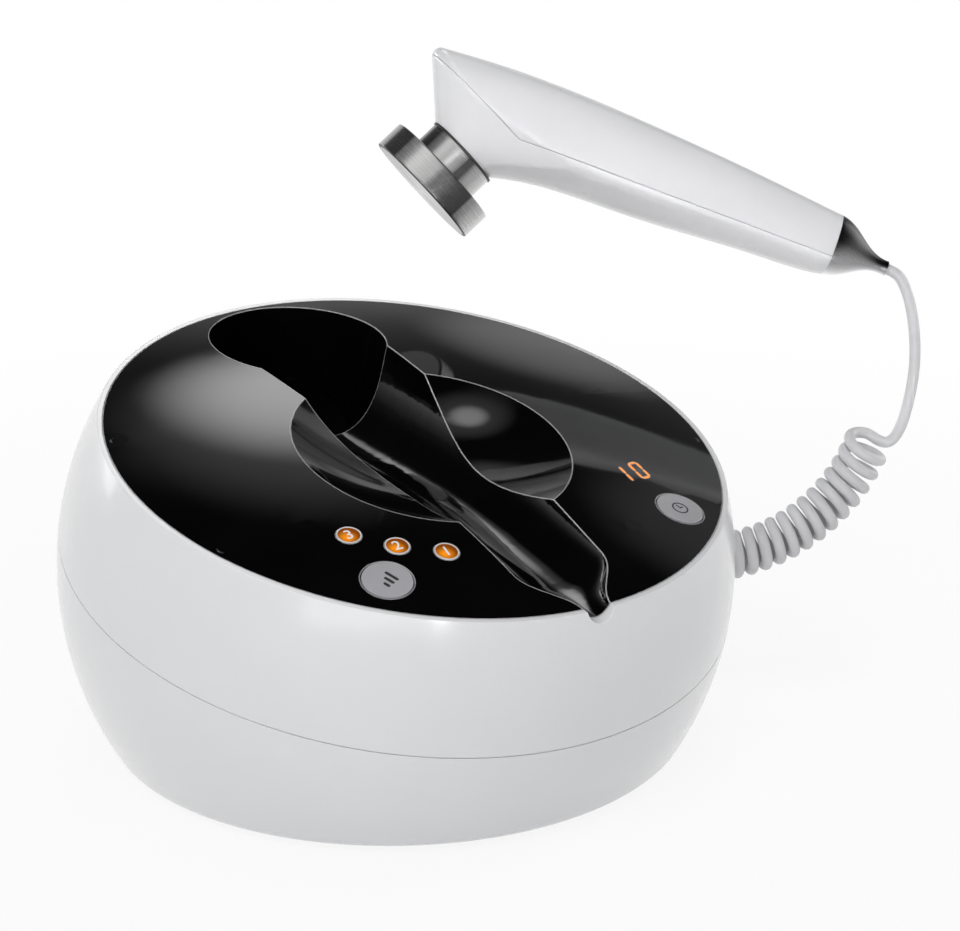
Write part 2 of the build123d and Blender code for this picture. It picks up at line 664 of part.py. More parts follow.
def control_screws():
    return group([DECK * Pos(side * x, y, CONTROL_BOARD_H) * screw(SCREW_R, SCREW_HEAD_R, CONTROL_SCREW_L)
                  for side in (-1, 1) for x, y in CONTROL_POSTS])


def dock_pad():
    return DECK * Pos(CRADLE_X, WELL_Y, 0) * upright(PAD_R, WELL_FLOOR_H, WELL_FLOOR_H + PAD_T)


# Main board


def on_board(place):
    return Pos(place[0], MAIN_BOARD_Y + place[1], MAIN_TOP_Z)


def main_board():
    board = Pos(0, MAIN_BOARD_Y, 0) * block(MAIN_BOARD_W, MAIN_BOARD_L, MAIN_BOARD_Z, MAIN_TOP_Z)
    for x, y in board_holes():
        board -= Pos(x, y, 0) * upright(SCREW_R + SCREW_GAP, 0, BODY_R)
    return board


def board_screws():
    return group([Pos(x, y, MAIN_TOP_Z) * Rot(180, 0, 0) * screw(SCREW_R, SCREW_HEAD_R, BOARD_SCREW_L)
                  for x, y in board_holes()])


def transformer():
    core = block(CORE_W, CORE_L / 2, 0, CORE_H)
    winding = block(CORE_W - 2 * COIL_FORMER_T, CORE_L, COIL_FORMER_T, CORE_H - COIL_FORMER_T)
    winding = fillet(winding.edges().filter_by(Axis.X), COIL_FORMER_T / 2)
    return on_board(TRANSFORMER_AT) * (core + winding)


def heat_sink():
    body = block(SINK_W, SINK_L / 4, 0, SINK_H)
    pitch = SINK_W / SINK_FINS
    for i in range(SINK_FINS):
        x = (i + 0.5) * pitch - SINK_W / 2
        body += Pos(x, SINK_L / 2, 0) * block(pitch / 3, SINK_L, 0, SINK_H)
    return on_board(SINK_AT) * body


def transistors():
    front = -SINK_L / 8 - TRANSISTOR_T / 2
    return group([on_board(SINK_AT) * Pos(side * SINK_W / 4, front, 0) * block(
        TRANSISTOR_W, TRANSISTOR_T, 0, TRANSISTOR_H) for side in (-1, 1)])


def inductor():
    return on_board(RING_AT) * Pos(0, 0, RING_MINOR_R + LIGHT_GAP) * Torus(RING_MAJOR_R, RING_MINOR_R)


def capacitors():
    bodies = []
    for place in CAPACITORS_AT:
        body = upright(CAPACITOR_R, 0, CAPACITOR_H)
        bodies.append(on_board(place) * fillet(body.edges().group_by(Axis.Z)[-1], 1))
    return group(bodies)


def relay():
    return on_board(RELAY_AT) * block(RELAY_W, RELAY_L, 0, RELAY_H)


def socket_tops():
    return [on_board(place) * Pos(0, 0, PLUG_H) for place in SOCKETS_AT]


def board_socket_under(side):
    # header under each control board, in the deck frame
    return DECK * Pos(side * CONTROL_BOARD_X, CONTROL_BOARD_Y, CONTROL_BOARD_H - PLUG_H)


def sockets():
    plugs = [on_board(place) * block(PLUG_W, PLUG_L, 0, PLUG_H) for place in SOCKETS_AT]
    plugs += [board_socket_under(side) * block(PLUG_W, PLUG_L, 0, PLUG_H) for side in (-1, 1)]
    return group(plugs)


def tube(path, radius):
    return sweep(Plane(origin=path @ 0, z_dir=path % 0) * Circle(radius), path=path)


def panel_cable():
    leads = []
    for side, top in zip((-1, 1), socket_tops()):
        start = top.position
        end_place = board_socket_under(side)
        end = end_place.position
        below = (end_place * Pos(0, 0, -PANEL_CABLE_DOWN)).position
        above = start + Vector(0, 0, PANEL_CABLE_UP)
        path = FilletPolyline(start, above, below, end, radius=PANEL_CABLE_BEND_R)
        leads.append(tube(path, WIRE_R))
    return group(leads)


def handpiece_cable():
    face = (HELD * Pos(GLAND_FACE_X, GLAND_Y, 0)).position
    inside = (HELD * Pos(GLAND_FACE_X - HAND_CABLE_IN, GLAND_Y, 0)).position
    socket = socket_tops()[2].position
    above = socket + Vector(0, 0, HAND_CABLE_UP)
    path = FilletPolyline(face, inside, above, socket, radius=HAND_CABLE_BEND_R)
    return tube(path, WIRE_R)


# Power socket and rocker


def power_inlet():
    body = rear_block(0, POWER_W, POWER_H, -POWER_DEPTH, FLANGE_T)
    body += rear_block(0, POWER_W + 2 * FLANGE_W, POWER_H + 2 * FLANGE_W, 0, FLANGE_T)
    body -= rear_block(0, POWER_W - 2 * POWER_WALL, POWER_H - 2 * POWER_WALL,
                       POWER_WALL - POWER_DEPTH, FLANGE_T)
    for side in (-1, 1):
        pin = Cylinder(PIN_R, POWER_DEPTH - POWER_WALL, rotation=(-90, 0, 0), align=ON_BASE)
        body += Pos(side * PIN_SPACING / 2, REAR_FACE_Y - POWER_DEPTH + POWER_WALL / 2, REAR_Z) * pin
    return Pos(POWER_X, 0, 0) * body


def housing_width():
    return ROCKER_W + 2 * ROCKER_GAP + 2 * HOUSING_WALL


def housing_height():
    return 2 * (ROCKER_R + ROCKER_GAP + HOUSING_WALL)


def rocker_axis_place():
    return Pos(ROCKER_X, REAR_FACE_Y, REAR_Z)


def rocker_housing():
    body = rear_block(0, housing_width(), housing_height(), -HOUSING_DEPTH, FLANGE_T)
    body += rear_block(0, housing_width() + 2 * FLANGE_W, housing_height() + 2 * FLANGE_W, 0, FLANGE_T)
    body = Pos(ROCKER_X, 0, 0) * body
    hole = Cylinder(ROCKER_R + ROCKER_GAP, ROCKER_W + 2 * ROCKER_GAP, rotation=(0, 90, 0))
    pin_hole = Cylinder(ROCKER_PIN_R + FIT_GAP, housing_width() - HOUSING_WALL / 2, rotation=(0, 90, 0))
    return body - rocker_axis_place() * (hole + pin_hole)


def power_rocker():
    body = Cylinder(ROCKER_R, ROCKER_W, rotation=(0, 90, 0))
    for lean in (-ROCKER_THROW / 2, ROCKER_THROW / 2):
        body -= Rot(lean, 0, 0) * Pos(0, ROCKER_PROUD + BIG / 2, 0) * Box(BIG, BIG, BIG)
    body += Cylinder(ROCKER_PIN_R, ROCKER_W + 2 * ROCKER_GAP + HOUSING_WALL, rotation=(0, 90, 0))
    return rocker_axis_place() * Rot(-ROCKER_THROW / 2, 0, 0) * body


def gland():
    return gland_rod(GLAND_R, GLAND_FACE_X - GLAND_L, GLAND_FACE_X) - gland_rod(
        WIRE_R + SCREW_GAP, GLAND_FACE_X - 2 * GLAND_L, GLAND_FACE_X + 1)


# Handpiece, in its own frame


def hand_section(x, top, bottom, half_w, split_h):
    place = Plane(origin=(x, 0, split_h), x_dir=(0, 1, 0), z_dir=(1, 0, 0))
    return place * oval(half_w, top - split_h, split_h - bottom)


def head_section(rise, grow):
    # seen along the neck: a front and a rear half ellipse that widen from the neck's ring
    share = rise / HEAD_RISE
    base = NECK_R + RING_W

    def spread(at_parting):
        return base + (at_parting - base) * share + grow

    outline = oval(spread(HEAD_SIDE), spread(HEAD_FRONT), spread(HEAD_REAR))
    return NECK * Pos(HEAD_SHIFT * share, 0, -rise) * Rot(0, 0, -90) * outline


def hand_body(grow):
    sections = []
    for x, top, bottom in HAND_STATIONS:
        half_w = hand_half_width(x) + grow
        sections.append(hand_section(x, top + grow, bottom - grow, half_w, SECTION_SPLIT_Z))
    body = loft(sections) & block(2 * BIG, BIG, -BIG, BIG)
    body -= Pos(-BIG / 2, 0, 0) * Box(BIG, BIG, BIG)
    return body & loft([head_section(0, grow), head_section(HEAD_TOP, grow)], ruled=True)


def above_parting(drop):
    slope = (NOSE_Z - HAND_SPLIT_Z) / (NOSE_X - HAND_SPLIT_BEND_X)
    low = HAND_SPLIT_Z - drop
    far_z = low + slope * (BIG - HAND_SPLIT_BEND_X)
    outline = Polyline((-BIG, low), (HAND_SPLIT_BEND_X, low), (BIG, far_z), (BIG, BIG), (-BIG, BIG),
                       close=True)
    return extrude(Plane.XZ * make_face(outline), BIG / 2, both=True)


def hand_outside():
    # the edge at the nose is rounded, and with it the whole edge of the head
    body = hand_body(0)
    nose = max(body.edges(), key=lambda edge: edge.bounding_box().max.X)
    return fillet(nose, HEAD_EDGE_R)


def hand_shell():
    neck_hole = NECK * upright(NECK_R - NECK_WALL + FIT_GAP, -NECK_INSERT_L - 3, 1)
    return hand_outside() - hand_body(-HAND_WALL) - neck_hole


def hand_bottom(x):
    # underside of the handle between the stations before the head
    for (x0, _, low0), (x1, _, low1) in zip(HAND_STATIONS, HAND_STATIONS[1:]):
        if x0 <= x <= x1:
            return low0 + (low1 - low0) * (x - x0) / (x1 - x0)


def screw_seat(x):
    return hand_bottom(x) + HAND_SEAT_UP


def handpiece_upper_shell():
    shell = hand_shell() & above_parting(0)
    filled = hand_body(-HAND_WALL / 2) & above_parting(0)
    for x, y in HAND_SCREWS:
        shell += Pos(x, y, 0) * upright(HAND_POST_R, HAND_SPLIT_Z, BIG / 2) & filled
        hole_top = screw_seat(x) + HAND_SCREW_L + SCREW_END_GAP
        shell -= Pos(x, y, 0) * upright(HAND_SCREW_R + SCREW_GAP, -BIG / 2, hole_top)
    return HAND * shell


def handpiece_lower_shell():
    shell = hand_shell() - above_parting(HAND_SEAM)
    filled = hand_body(-HAND_WALL / 2) - above_parting(HAND_SEAM)
    for x, y in HAND_SCREWS:
        shell += Pos(x, y, 0) * upright(HAND_POST_R, -BIG / 2, HAND_SPLIT_Z) & filled
        shell -= Pos(x, y, 0) * upright(HAND_SCREW_R + SCREW_GAP, -BIG / 2, BIG / 2)
        shell -= Pos(x, y, 0) * upright(HAND_HEAD_R + SCREW_GAP, -BIG / 2, screw_seat(x))
    for x in HAND_RIB_XS:
        shell += Pos(x, 0, 0) * block(HAND_WALL, HAND_BOARD_W, -BIG / 2, HAND_BOARD_Z) & filled
    return HAND * shell


def handpiece_screws():
    return group([HAND * Pos(x, y, screw_seat(x)) * screw(HAND_SCREW_R, HAND_HEAD_R, HAND_SCREW_L)
                  for x, y in HAND_SCREWS])


def handpiece_screw_plugs():
    # caps that close the screw holes flush with the lower shell
    outside = hand_outside()
    plugs = []
    for x, y in HAND_SCREWS:
        plug = upright(HAND_HEAD_R + SCREW_GAP, -BIG / 2, screw_seat(x) - SCREW_HEAD_T)
        plugs.append(HAND * (Pos(x, y, 0) * plug & outside))
    return group(plugs)


def hand_board():
    middle = HAND_BOARD_X + HAND_BOARD_L / 2
    top = HAND_BOARD_Z + BOARD_T
    board = Pos(middle, 0, 0) * block(HAND_BOARD_L, HAND_BOARD_W, HAND_BOARD_Z, top)
    for x in (HAND_BOARD_X + PLUG_L / 2, HAND_BOARD_X + HAND_BOARD_L - PLUG_L / 2):
        board += Pos(x, 0, 0) * block(PLUG_L, PLUG_W, HAND_BOARD_Z, HAND_BOARD_Z + PLUG_H)
    return HAND * board


def hand_wire():
    start_x = HAND_BOARD_X + HAND_BOARD_L
    seat = (NECK * Pos(0, 0, -NECK_INSERT_L)).position
    above = (NECK * Pos(0, 0, -NECK_INSERT_L - HAND_WIRE_UP)).position
    low = [(start_x, 0, CONE_END_Z), (start_x + HAND_WIRE_OUT, 0, CONE_END_Z)]
    front = FilletPolyline(*low, above, seat, radius=HAND_WIRE_BEND_R)
    rear = Line((-CONE_L, 0, CONE_END_Z), (HAND_BOARD_X, 0, CONE_END_Z))
    return HAND * group([tube(front, WIRE_R), tube(rear, WIRE_R)])


def insulator_ring():
    bore = NECK_R - NECK_WALL + FIT_GAP
    return HAND * NECK * (upright(NECK_R + RING_W, 0, RING_T) - upright(bore, -1, RING_T + 1))


def electrode_neck():
    insert_r = NECK_R - NECK_WALL
    body = upright(NECK_R, RING_T, NECK_L) + upright(insert_r, -NECK_INSERT_L, NECK_L)
    return HAND * NECK * (body - upright(insert_r - NECK_WALL, -NECK_INSERT_L + NECK_WALL, NECK_L + 1))


def electrode_disc():
    side_h = NECK_L + DISC_T - DISC_DOME
    outline = [Polyline((0, NECK_L), (DISC_R, NECK_L), (DISC_R, side_h)),
               ThreePointArc((DISC_R, side_h), (DISC_R / 2, side_h + DISC_DOME * 3 / 4),
                             (0, side_h + DISC_DOME)),
               Line((0, side_h + DISC_DOME), (0, NECK_L))]
    body = revolve(Plane.XZ * make_face(outline), Axis.Z)
    rims = body.edges().filter_by(lambda edge: edge.length > 2 * math.pi * (DISC_R - 0.01))
    body = fillet(rims, DISC_EDGE_R)
    body -= upright(DISC_R - DISC_WALL, NECK_L + DISC_WALL, side_h - DISC_WALL)
    return HAND * NECK * (body - upright(NECK_R - 2 * NECK_WALL, NECK_L - 1, NECK_L + DISC_WALL + 1))


def tail_cone():
    body = loft([hand_section(x, top, bottom, half_w, (top + bottom) / 2 + split_shift(x))
                 for x, top, bottom, half_w in reversed(CONE_STATIONS)])
    _, top, bottom, half_w = CONE_STATIONS[0]
    inset = HAND_WALL + 2 * FIT_GAP
    face = hand_section(-1, top - inset, bottom + inset, half_w - inset, SECTION_SPLIT_Z)
    plug = extrude(face, CONE_PLUG_L + 1, dir=(1, 0, 0))
    bore = Cylinder(WIRE_R + SCREW_GAP, BIG, rotation=(0, 90, 0))
    return HAND * (body + plug - Pos(0, 0, CONE_END_Z) * bore)


def split_shift(x):
    # the widest height runs from the shells' parting to the middle of the cord
    middle_at_tail = (CONE_STATIONS[0][1] + CONE_STATIONS[0][2]) / 2
    return (SECTION_SPLIT_Z - middle_at_tail) * (1 + x / CONE_L)


# Curly cord, in the held frame


def curl_axis(distance):
    angle = math.degrees(distance / CURL_BEND_R)
    centre = Vector(GLAND_FACE_X + CURL_BEND_R * sin(angle), GLAND_Y + CURL_BEND_R * (1 - cos(angle)), 0)
    return centre, Vector(cos(angle), sin(angle), 0), Vector(sin(angle), -cos(angle), 0)


def curl_point(turns):
    # a point of the helix and its direction, after a number of turns; below zero the
    # helix opens out from its axis within half a turn
    first = CORD_D + CURL_LEAD_IN
    length = CURL_BEND_R * math.radians(CURL_END_ANGLE) - first
    share = max(turns, 0) / CURL_TURNS
    distance = first + length * (share + CURL_SPREAD * (share * share - share))
    pace = length * (1 + CURL_SPREAD * (2 * share - 1)) / CURL_TURNS
    opened = 1 + 2 * min(turns, 0)
    if turns < 0:
        distance += 2 * CURL_LEAD_IN * turns
        pace = 2 * CURL_LEAD_IN
    radius = CURL_R * opened * opened * (3 - 2 * opened)
    opening_pace = CURL_R * 12 * opened * (1 - opened)
    centre, along, out = curl_axis(distance)
    phase = 90 + 360 * turns
    towards = out * cos(phase) + Vector(0, 0, sin(phase))
    onward = out * -sin(phase) + Vector(0, 0, cos(phase))
    heading = along * (pace * (1 + radius * cos(phase) / CURL_BEND_R))
    heading += onward * (2 * math.pi * radius) + towards * opening_pace
    return centre + towards * radius, heading.normalized()


def biarc(start, start_dir, end, end_dir):
    span = end - start
    both = start_dir + end_dir
    room = 2 * (1 - start_dir.dot(end_dir))
    reach = (-span.dot(both) + math.sqrt(span.dot(both)**2 + room * span.dot(span))) / room
    joint = (start + end + (start_dir - end_dir) * reach) / 2
    joint_dir = (end - end_dir * reach - start - start_dir * reach).normalized()
    return [Edge.make_tangent_arc(start, start_dir, joint), Edge.make_tangent_arc(joint, joint_dir, end)]


def coil_path():
    gland_point = Vector(GLAND_FACE_X, GLAND_Y, 0)
    stub_end = gland_point + Vector(CORD_D, 0, 0)
    edges = [Edge.make_line(gland_point, stub_end)]
    here, heading = stub_end, Vector(1, 0, 0)
    for turns in [-0.25] + [half / 2 for half in range(int(2 * CURL_TURNS) + 1)]:
        point, direction = curl_point(turns)
        edges += biarc(here, heading, point, direction)
        here, heading = point, direction
    end = Vector(*LEAD_ROUTE[-1])
    direction = (Vector(*LEAD_ROUTE[-2]) - end).normalized()
    last = end - direction * CORD_D
    edges += biarc(here, heading, last, direction)
    edges.append(Edge.make_line(last, end))
    return edges


def least_gap(edges):
    # least distance between strands that are not neighbours along the cord, less the cord
    points = []
    travelled = 0.0
    for edge in edges:
        count = max(2, int(edge.length / 1.2))
        for i in range(count):
            points.append((travelled + edge.length * i / count, edge @ (i / count)))
        travelled += edge.length
    gap = BIG
    for i, (along, point) in enumerate(points):
        for other_along, other in points[i + 1:]:
            if other_along - along > 3 * CORD_D:
                gap = min(gap, (other - point).length)
    return gap - CORD_D


def cord_coil():
    edges = coil_path()
    length = sum(edge.length for edge in edges)
    solid = tube(Wire(edges), CORD_D / 2)
    print("coil: length", round(length, 1), "least gap", round(least_gap(edges), 2), "tightest arc",
          round(min(edge.radius for edge in edges if edge.geom_type == GeomType.CIRCLE), 2),
          "volume share", round(solid.volume / (length * math.pi * CORD_D**2 / 4), 4))
    return HELD * solid


def cord_lead():
    points = [Vector(*point) for point in LEAD_ROUTE]
    radii = []
    for before, point, after in zip(points, points[1:], points[2:]):
        turn = (point - before).get_angle(after - point)
        shorter = min((point - before).length, (after - point).length)
        radii.append(LEAD_ARC_SHARE * shorter / tan(turn / 2))
    path = FilletPolyline(*points, radius=radii)
    solid = tube(path, CORD_D / 2)
    print("lead: length", round(path.length, 1), "radii", [round(radius, 1) for radius in radii],
          "volume share", round(solid.volume / (path.length * math.pi * CORD_D**2 / 4), 4))
    return HELD * solid


def build():
    write(lower_shell(), "lower_shell")
    write(upper_shell(), "upper_shell")
    write(feet(), "rubber_feet")
    write(shell_screws(), "shell_screws")
    write(panel_screws(), "panel_screws")
    write(top_panel(), "top_panel")
    write(dock_pad(), "handpiece_dock_pad")
    for name, angle in (("level", LEVEL_ANGLE), ("time", TIME_ANGLE)):
        write(key(angle), f"{name}_button")
        write(plunger(angle), f"{name}_plunger")
        write(switch(angle), f"{name}_switch")
    for number, angle in enumerate(LIGHT_ANGLES, 1):
        write(light(angle), f"indicator_lens_{number}")
    write(bezels(), "indicator_bezels")
    write(leds(), "indicator_leds")
    write(display_digits(), "display_digits")
    write(display_module(), "display_module")
    write(control_board(-1), "level_board")
    write(control_board(1), "time_board")
    write(control_screws(), "control_board_screws")
    write(main_board(), "main_board")
    write(board_screws(), "main_board_screws")
    write(transformer(), "power_transformer")
    write(heat_sink(), "heat_sink")
    write(transistors(), "power_transistors")
    write(inductor(), "output_inductor")
    write(capacitors(), "capacitors")
    write(relay(), "main_relay")
    write(sockets(), "board_sockets")
    write(panel_cable(), "panel_cable")
    write(handpiece_cable(), "handpiece_cable")
    write(power_inlet(), "power_inlet")
    write(rocker_housing(), "rocker_housing")
    write(power_rocker(), "power_rocker")
    write(gland(), "cord_gland")
    write(handpiece_upper_shell(), "handpiece_upper_shell")
    write(handpiece_lower_shell(), "handpiece_lower_shell")
    write(handpiece_screws(), "handpiece_screws")
    write(handpiece_screw_plugs(), "handpiece_screw_plugs")
    write(hand_board(), "handpiece_board")
    write(hand_wire(), "handpiece_wire")
    write(insulator_ring(), "insulator_ring")
    write(electrode_neck(), "electrode_neck")
    write(electrode_disc(), "electrode_disc")
    write(tail_cone(), "tail_cone")
    write(cord_coil(), "cord_coil")
    write(cord_lead(), "cord_lead")


build()
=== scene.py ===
import math

import bmesh
import bpy
from mathutils import Matrix, Vector


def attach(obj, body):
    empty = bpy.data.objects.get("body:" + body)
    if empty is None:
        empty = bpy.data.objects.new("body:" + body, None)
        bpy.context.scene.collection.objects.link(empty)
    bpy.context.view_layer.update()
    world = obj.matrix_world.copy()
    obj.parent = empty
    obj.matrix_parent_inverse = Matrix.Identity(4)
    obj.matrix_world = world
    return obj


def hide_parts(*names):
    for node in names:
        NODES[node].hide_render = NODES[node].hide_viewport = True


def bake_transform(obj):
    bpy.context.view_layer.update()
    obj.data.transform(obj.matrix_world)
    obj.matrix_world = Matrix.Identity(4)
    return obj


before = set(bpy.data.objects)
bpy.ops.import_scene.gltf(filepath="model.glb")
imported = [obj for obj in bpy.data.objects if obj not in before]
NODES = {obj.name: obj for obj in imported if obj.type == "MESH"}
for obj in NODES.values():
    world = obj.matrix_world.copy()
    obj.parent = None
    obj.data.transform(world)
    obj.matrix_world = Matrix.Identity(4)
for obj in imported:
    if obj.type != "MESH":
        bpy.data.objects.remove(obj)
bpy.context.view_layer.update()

# Lengths are in metres, apart from those said to be in mm
MM = 0.001
ON_AXIS = 1e-7

# Frames, as in the part's source
BODY_CENTRE = Vector((0, 0, 0.063))
TILT = math.radians(15.0)
HELD_TURN, HELD_LEAN, HELD_BACK = math.radians(-36.6), math.radians(17.65), 0.054
HAND_AT, HAND_DIP = (0.1615, 0.1159), math.radians(20.0)
NECK_AT, NECK_LEAN = (0.1426, -0.0148), math.radians(26.6)


def frame_matrix(origin, x_dir, z_dir):
    x_dir, z_dir = Vector(x_dir).normalized(), Vector(z_dir).normalized()
    y_dir = z_dir.cross(x_dir)
    return Matrix.Translation(origin) @ Matrix((x_dir, y_dir, z_dir)).transposed().to_4x4()


DECK = frame_matrix(BODY_CENTRE, (1, 0, 0), (0, -math.sin(TILT), math.cos(TILT)))
held_z = Vector((math.sin(HELD_TURN) * math.cos(HELD_LEAN), -math.cos(HELD_TURN) * math.cos(HELD_LEAN),
                 math.sin(HELD_LEAN)))
HELD = frame_matrix(BODY_CENTRE - held_z * HELD_BACK, (math.cos(HELD_TURN), math.sin(HELD_TURN), 0), held_z)
HAND = HELD @ frame_matrix((*HAND_AT, 0), (-math.cos(HAND_DIP), math.sin(HAND_DIP), 0),
                           (math.sin(HAND_DIP), math.cos(HAND_DIP), 0))
NECK = HAND @ frame_matrix((NECK_AT[0], 0, NECK_AT[1]), (math.cos(NECK_LEAN), 0, math.sin(NECK_LEAN)),
                           (math.sin(NECK_LEAN), 0, -math.cos(NECK_LEAN)))

# Camera, fitted to the photograph
EYE = Vector((-0.410991, -0.601904, 0.328837))
BACK = Vector((-0.568183, -0.765034, 0.303135))
RIGHT = Vector((0.802808, -0.596237, 0.0))
LENS, SENSOR = 82.5, 36.0
CLIP_NEAR, CLIP_FAR = 0.02, 40.0

# Curly cord, in mm: the helix is wound on the line of the coil's axis, in the held frame
CORD_D = 4.2
CORD_SIDES = 14
CURL_R, CURL_TURNS, CURL_SPREAD = 7.12, 13.5, 0.08
STEPS_PER_TURN = 16
# the first curl grows out of the axis
LEAD_IN, LEAD_IN_TURNS, LEAD_IN_STEPS = 6.5, 0.5, 6
# the last curls lean over
LEAN_TURNS, LEAN = 5, math.radians(26)
COIL_AXIS = [(110.0, -2.5, 0), (120.57, -2.5, 0), (140.70, 3.72, 0), (158.10, 15.56, 0), (171.27, 32.03, 0),
             (175.13, 41.84, 0)]
LEAD_ROUTE = [(181.2, 41.2, -5.6), (185.0, 41.6, -5.0), (188.6, 47.6, -4.3), (191.4, 58.0, -3.2),
              (193.2, 70.5, -1.8), (192.83, 83.27, -0.7), (191.07, 93.79, -0.2), (188.7, 100.93, 0),
              (185.94, 105.19, 0), (181.99, 106.63, 0)]
AXIS_RESOLUTION, CORD_RESOLUTION = 24, 4
LEAST_STEP = 0.00001

# Strain relief: three ribs on a sleeve, along the held frame's x
SLEEVE_R, SLEEVE_START, RIBS_START = 0.0060, 0.0945, 0.1060
RIB_COUNT, RIB_PITCH, RIB_R, RIB_TAPER = 3, 0.0012, 0.0056, 0.0006
GROOVE_DEPTH, GROOVE_W, RIB_SLOPE = 0.0006, 0.0005, 0.0002
SLEEVE_TIP = [(0.0032, 0.1100), (0.0024, 0.1136), (0.0021, 0.1136)]
SLEEVE_SIDE = -0.0025

# Electrode: radii, and heights along the neck
BORE_R, NECK_R, COLLAR_R, DISC_R = 0.0105, 0.0125, 0.0145, 0.0237
NECK_LOW, COLLAR_LOW, NECK_TOP = -0.0060, 0.0008, 0.0103
RING_IN_R, RING_R = 0.01265, 0.0150
DISC_T, FACE_CROWN = 0.0116, 0.0005
FACE_R, FACE_RISE, FACE_BAND_R = 0.0118, 0.0004, 0.0229
NECK_EDGE, RING_EDGE, DISC_EDGE, SLEEVE_EDGE = 0.00025, 0.0002, 0.0006, 0.0003

# Deck, in mm
DOME_R, DOME_CENTRE_H = 630.2, -573.6
LIGHT_RING_R, LIGHT_ANGLES = 76.02, (242.4, 230.7, 219.0)
KEY_RING_R, LEVEL_ANGLE, TIME_ANGLE = 92.62, 230.0, 308.5
NUMERAL_LIFT, KEY_MARK_LIFT = 0.17, 0.33

# Marks
MARK_T = 0.00004
NUMERAL_H = 0.0042
# the font's size and its added weight, for each metre of a numeral's height
FONT_SIZE, FONT_WEIGHT = 1.4, 0.012
# turns on the deck, in degrees
NUMERAL_TURN, LEVEL_MARK_TURN, TIME_MARK_TURN = -6, 20, 12
BAR_COUNT, BAR_W, BAR_PITCH, BAR_L, BAR_START = 3, 0.0011, 0.0021, 0.0014, -0.0021
CLOCK_R, LINE_W, LONG_HAND, SHORT_HAND = 0.0024, 0.0005, 0.0017, 0.0012
ROCKER_AT, ROCKER_LEAN = (-0.020, 0.104, 0.031), 7
ROCKER_FACE, ROCKER_MARK_H = 0.00302, 0.0045
ON_LENGTH, OFF_R = 0.0024, 0.0011

# Materials: the ranges of a noise that are spread over a whole change of finish or of tint,
# and the turned steel
NOISE, CLOUD = (0.3, 0.7), (0.35, 0.65)
STEEL, STEEL_ROUGHNESS, STEEL_METALLIC = (0.84, 0.835, 0.83), 0.24, 0.7

# Painted reflections and shade on the turned metal, as tones by shares of half a turn: the tail
# cone from its top down to its underside, the electrode from the side of the nose round to the side of the
# tail
CONE_PAINTED_LIGHT = [(0.0, 0.09), (0.12, 0.06), (0.3, 0.04), (0.45, 0.07), (0.58, 0.28), (0.7, 0.42), (1.0, 0.36)]
DISC_PAINTED_LIGHT = [(0.0, 0.8), (0.16, 0.6), (0.18, 0.12), (0.29, 0.12), (0.31, 0.5), (0.4, 0.4), (0.48, 0.26),
                (0.54, 0.14), (0.6, 0.06), (0.735, 0.05), (0.75, 0.3), (1.0, 0.5)]
NECK_PAINTED_LIGHT = [(0.0, 0.9), (0.14, 0.4), (0.17, 0.12), (0.26, 0.12), (0.31, 0.45), (0.38, 0.4), (0.46, 0.26),
                (0.53, 0.36), (0.58, 0.2), (0.62, 0.05), (0.67, 0.08), (0.71, 0.35), (1.0, 0.5)]
EVEN_SECTORS = [(0.001, 0.9), (0.999, 1.0)]
CONE_AXIS_DROP = 0.0017

# Studio: the brightness of the room by height, then softer and brighter parts of it
WORLD_LEVELS = [(0.001, 1.0), (0.2, 0.9), (0.4, 0.35), (0.55, 0.08), (0.66, 0.02), (0.8, 0.007),
                (0.999, 0.006)]
WORLD_LOBES = [
    # operation, direction, cosines where it starts and is full, value outside and inside
    ("MULTIPLY", (0.77, 0.48, 0.43), 0.90, 0.985, 1.0, 0.35),
    ("ADD", (0.475, 0.61, 0.637), 0.984, 1.0, 0.0, 2.9),
    ("ADD", (0.455, 0.56, 0.69), 0.974, 0.999, 0.0, 0.5),
    ("ADD", (0.69, 0.63, 0.365), 0.992, 1.0, 0.0, 0.45),
    ("ADD", (0.735, 0.3, 0.61), 0.99, 1.0, 0.0, 0.25),
    ("ADD", (0.14, 0.13, 0.98), 0.972, 1.0, 0.0, 0.55),
    ("ADD", (0.145, 0.135, 0.98), 0.994, 0.9998, 0.0, 2.8),
]
LAMPS = [
    # name, place, target, size, watts, spread in degrees, whether gloss reflects it
    ("key_softbox", (-1.2, -0.7, 1.5), (0, 0, 0.08), (1.3, 1.3), 13.0, 180, True),
    ("top_softbox", (0.1, 0.0, 1.5), (0.05, 0, 0.1), (0.8, 0.8), 4.0, 180, False),
    ("fill_softbox", (-1.2, -1.35, 0.2), (0, 0, 0.15), (1.5, 0.5), 5.4, 180, True),
    ("side_softbox", (1.7, -0.2, 0.7), (0, 0, 0.10), (0.8, 1.2), 6.5, 180, True),
    ("rear_softbox", (-0.5, 1.8, 0.5), (0, 0, 0.1), (1.2, 0.6), 5.0, 180, True),
    ("handpiece_lamp", (-0.75, -1.15, 0.85), (0.145, 0.07, 0.26), (0.22, 0.22), 0.02, 19, True),
    ("underside_lamp", (-0.45, -1.4, 0.05), (0.14, 0.07, 0.265), (0.3, 0.08), 0.065, 15, True),
]
FLOOR_R = 6.0
# the floor's paper turns to plain white between these distances from the object
PAPER_NEAR, PAPER_FAR, PAPER_WHITE = 0.16, 0.6, 0.88


# Shapes


def add_object(name, data, place=Matrix.Identity(4)):
    obj = bpy.data.objects.new(name, data)
    bpy.context.collection.objects.link(obj)
    obj.matrix_world = place
    return obj


def mesh_of(name, curve):
    # the mesh of a curve or text, whose object goes again
    obj = add_object(name, curve)
    bpy.context.view_layer.update()
    mesh = bpy.data.meshes.new_from_object(obj)
    bpy.data.objects.remove(obj)
    return mesh


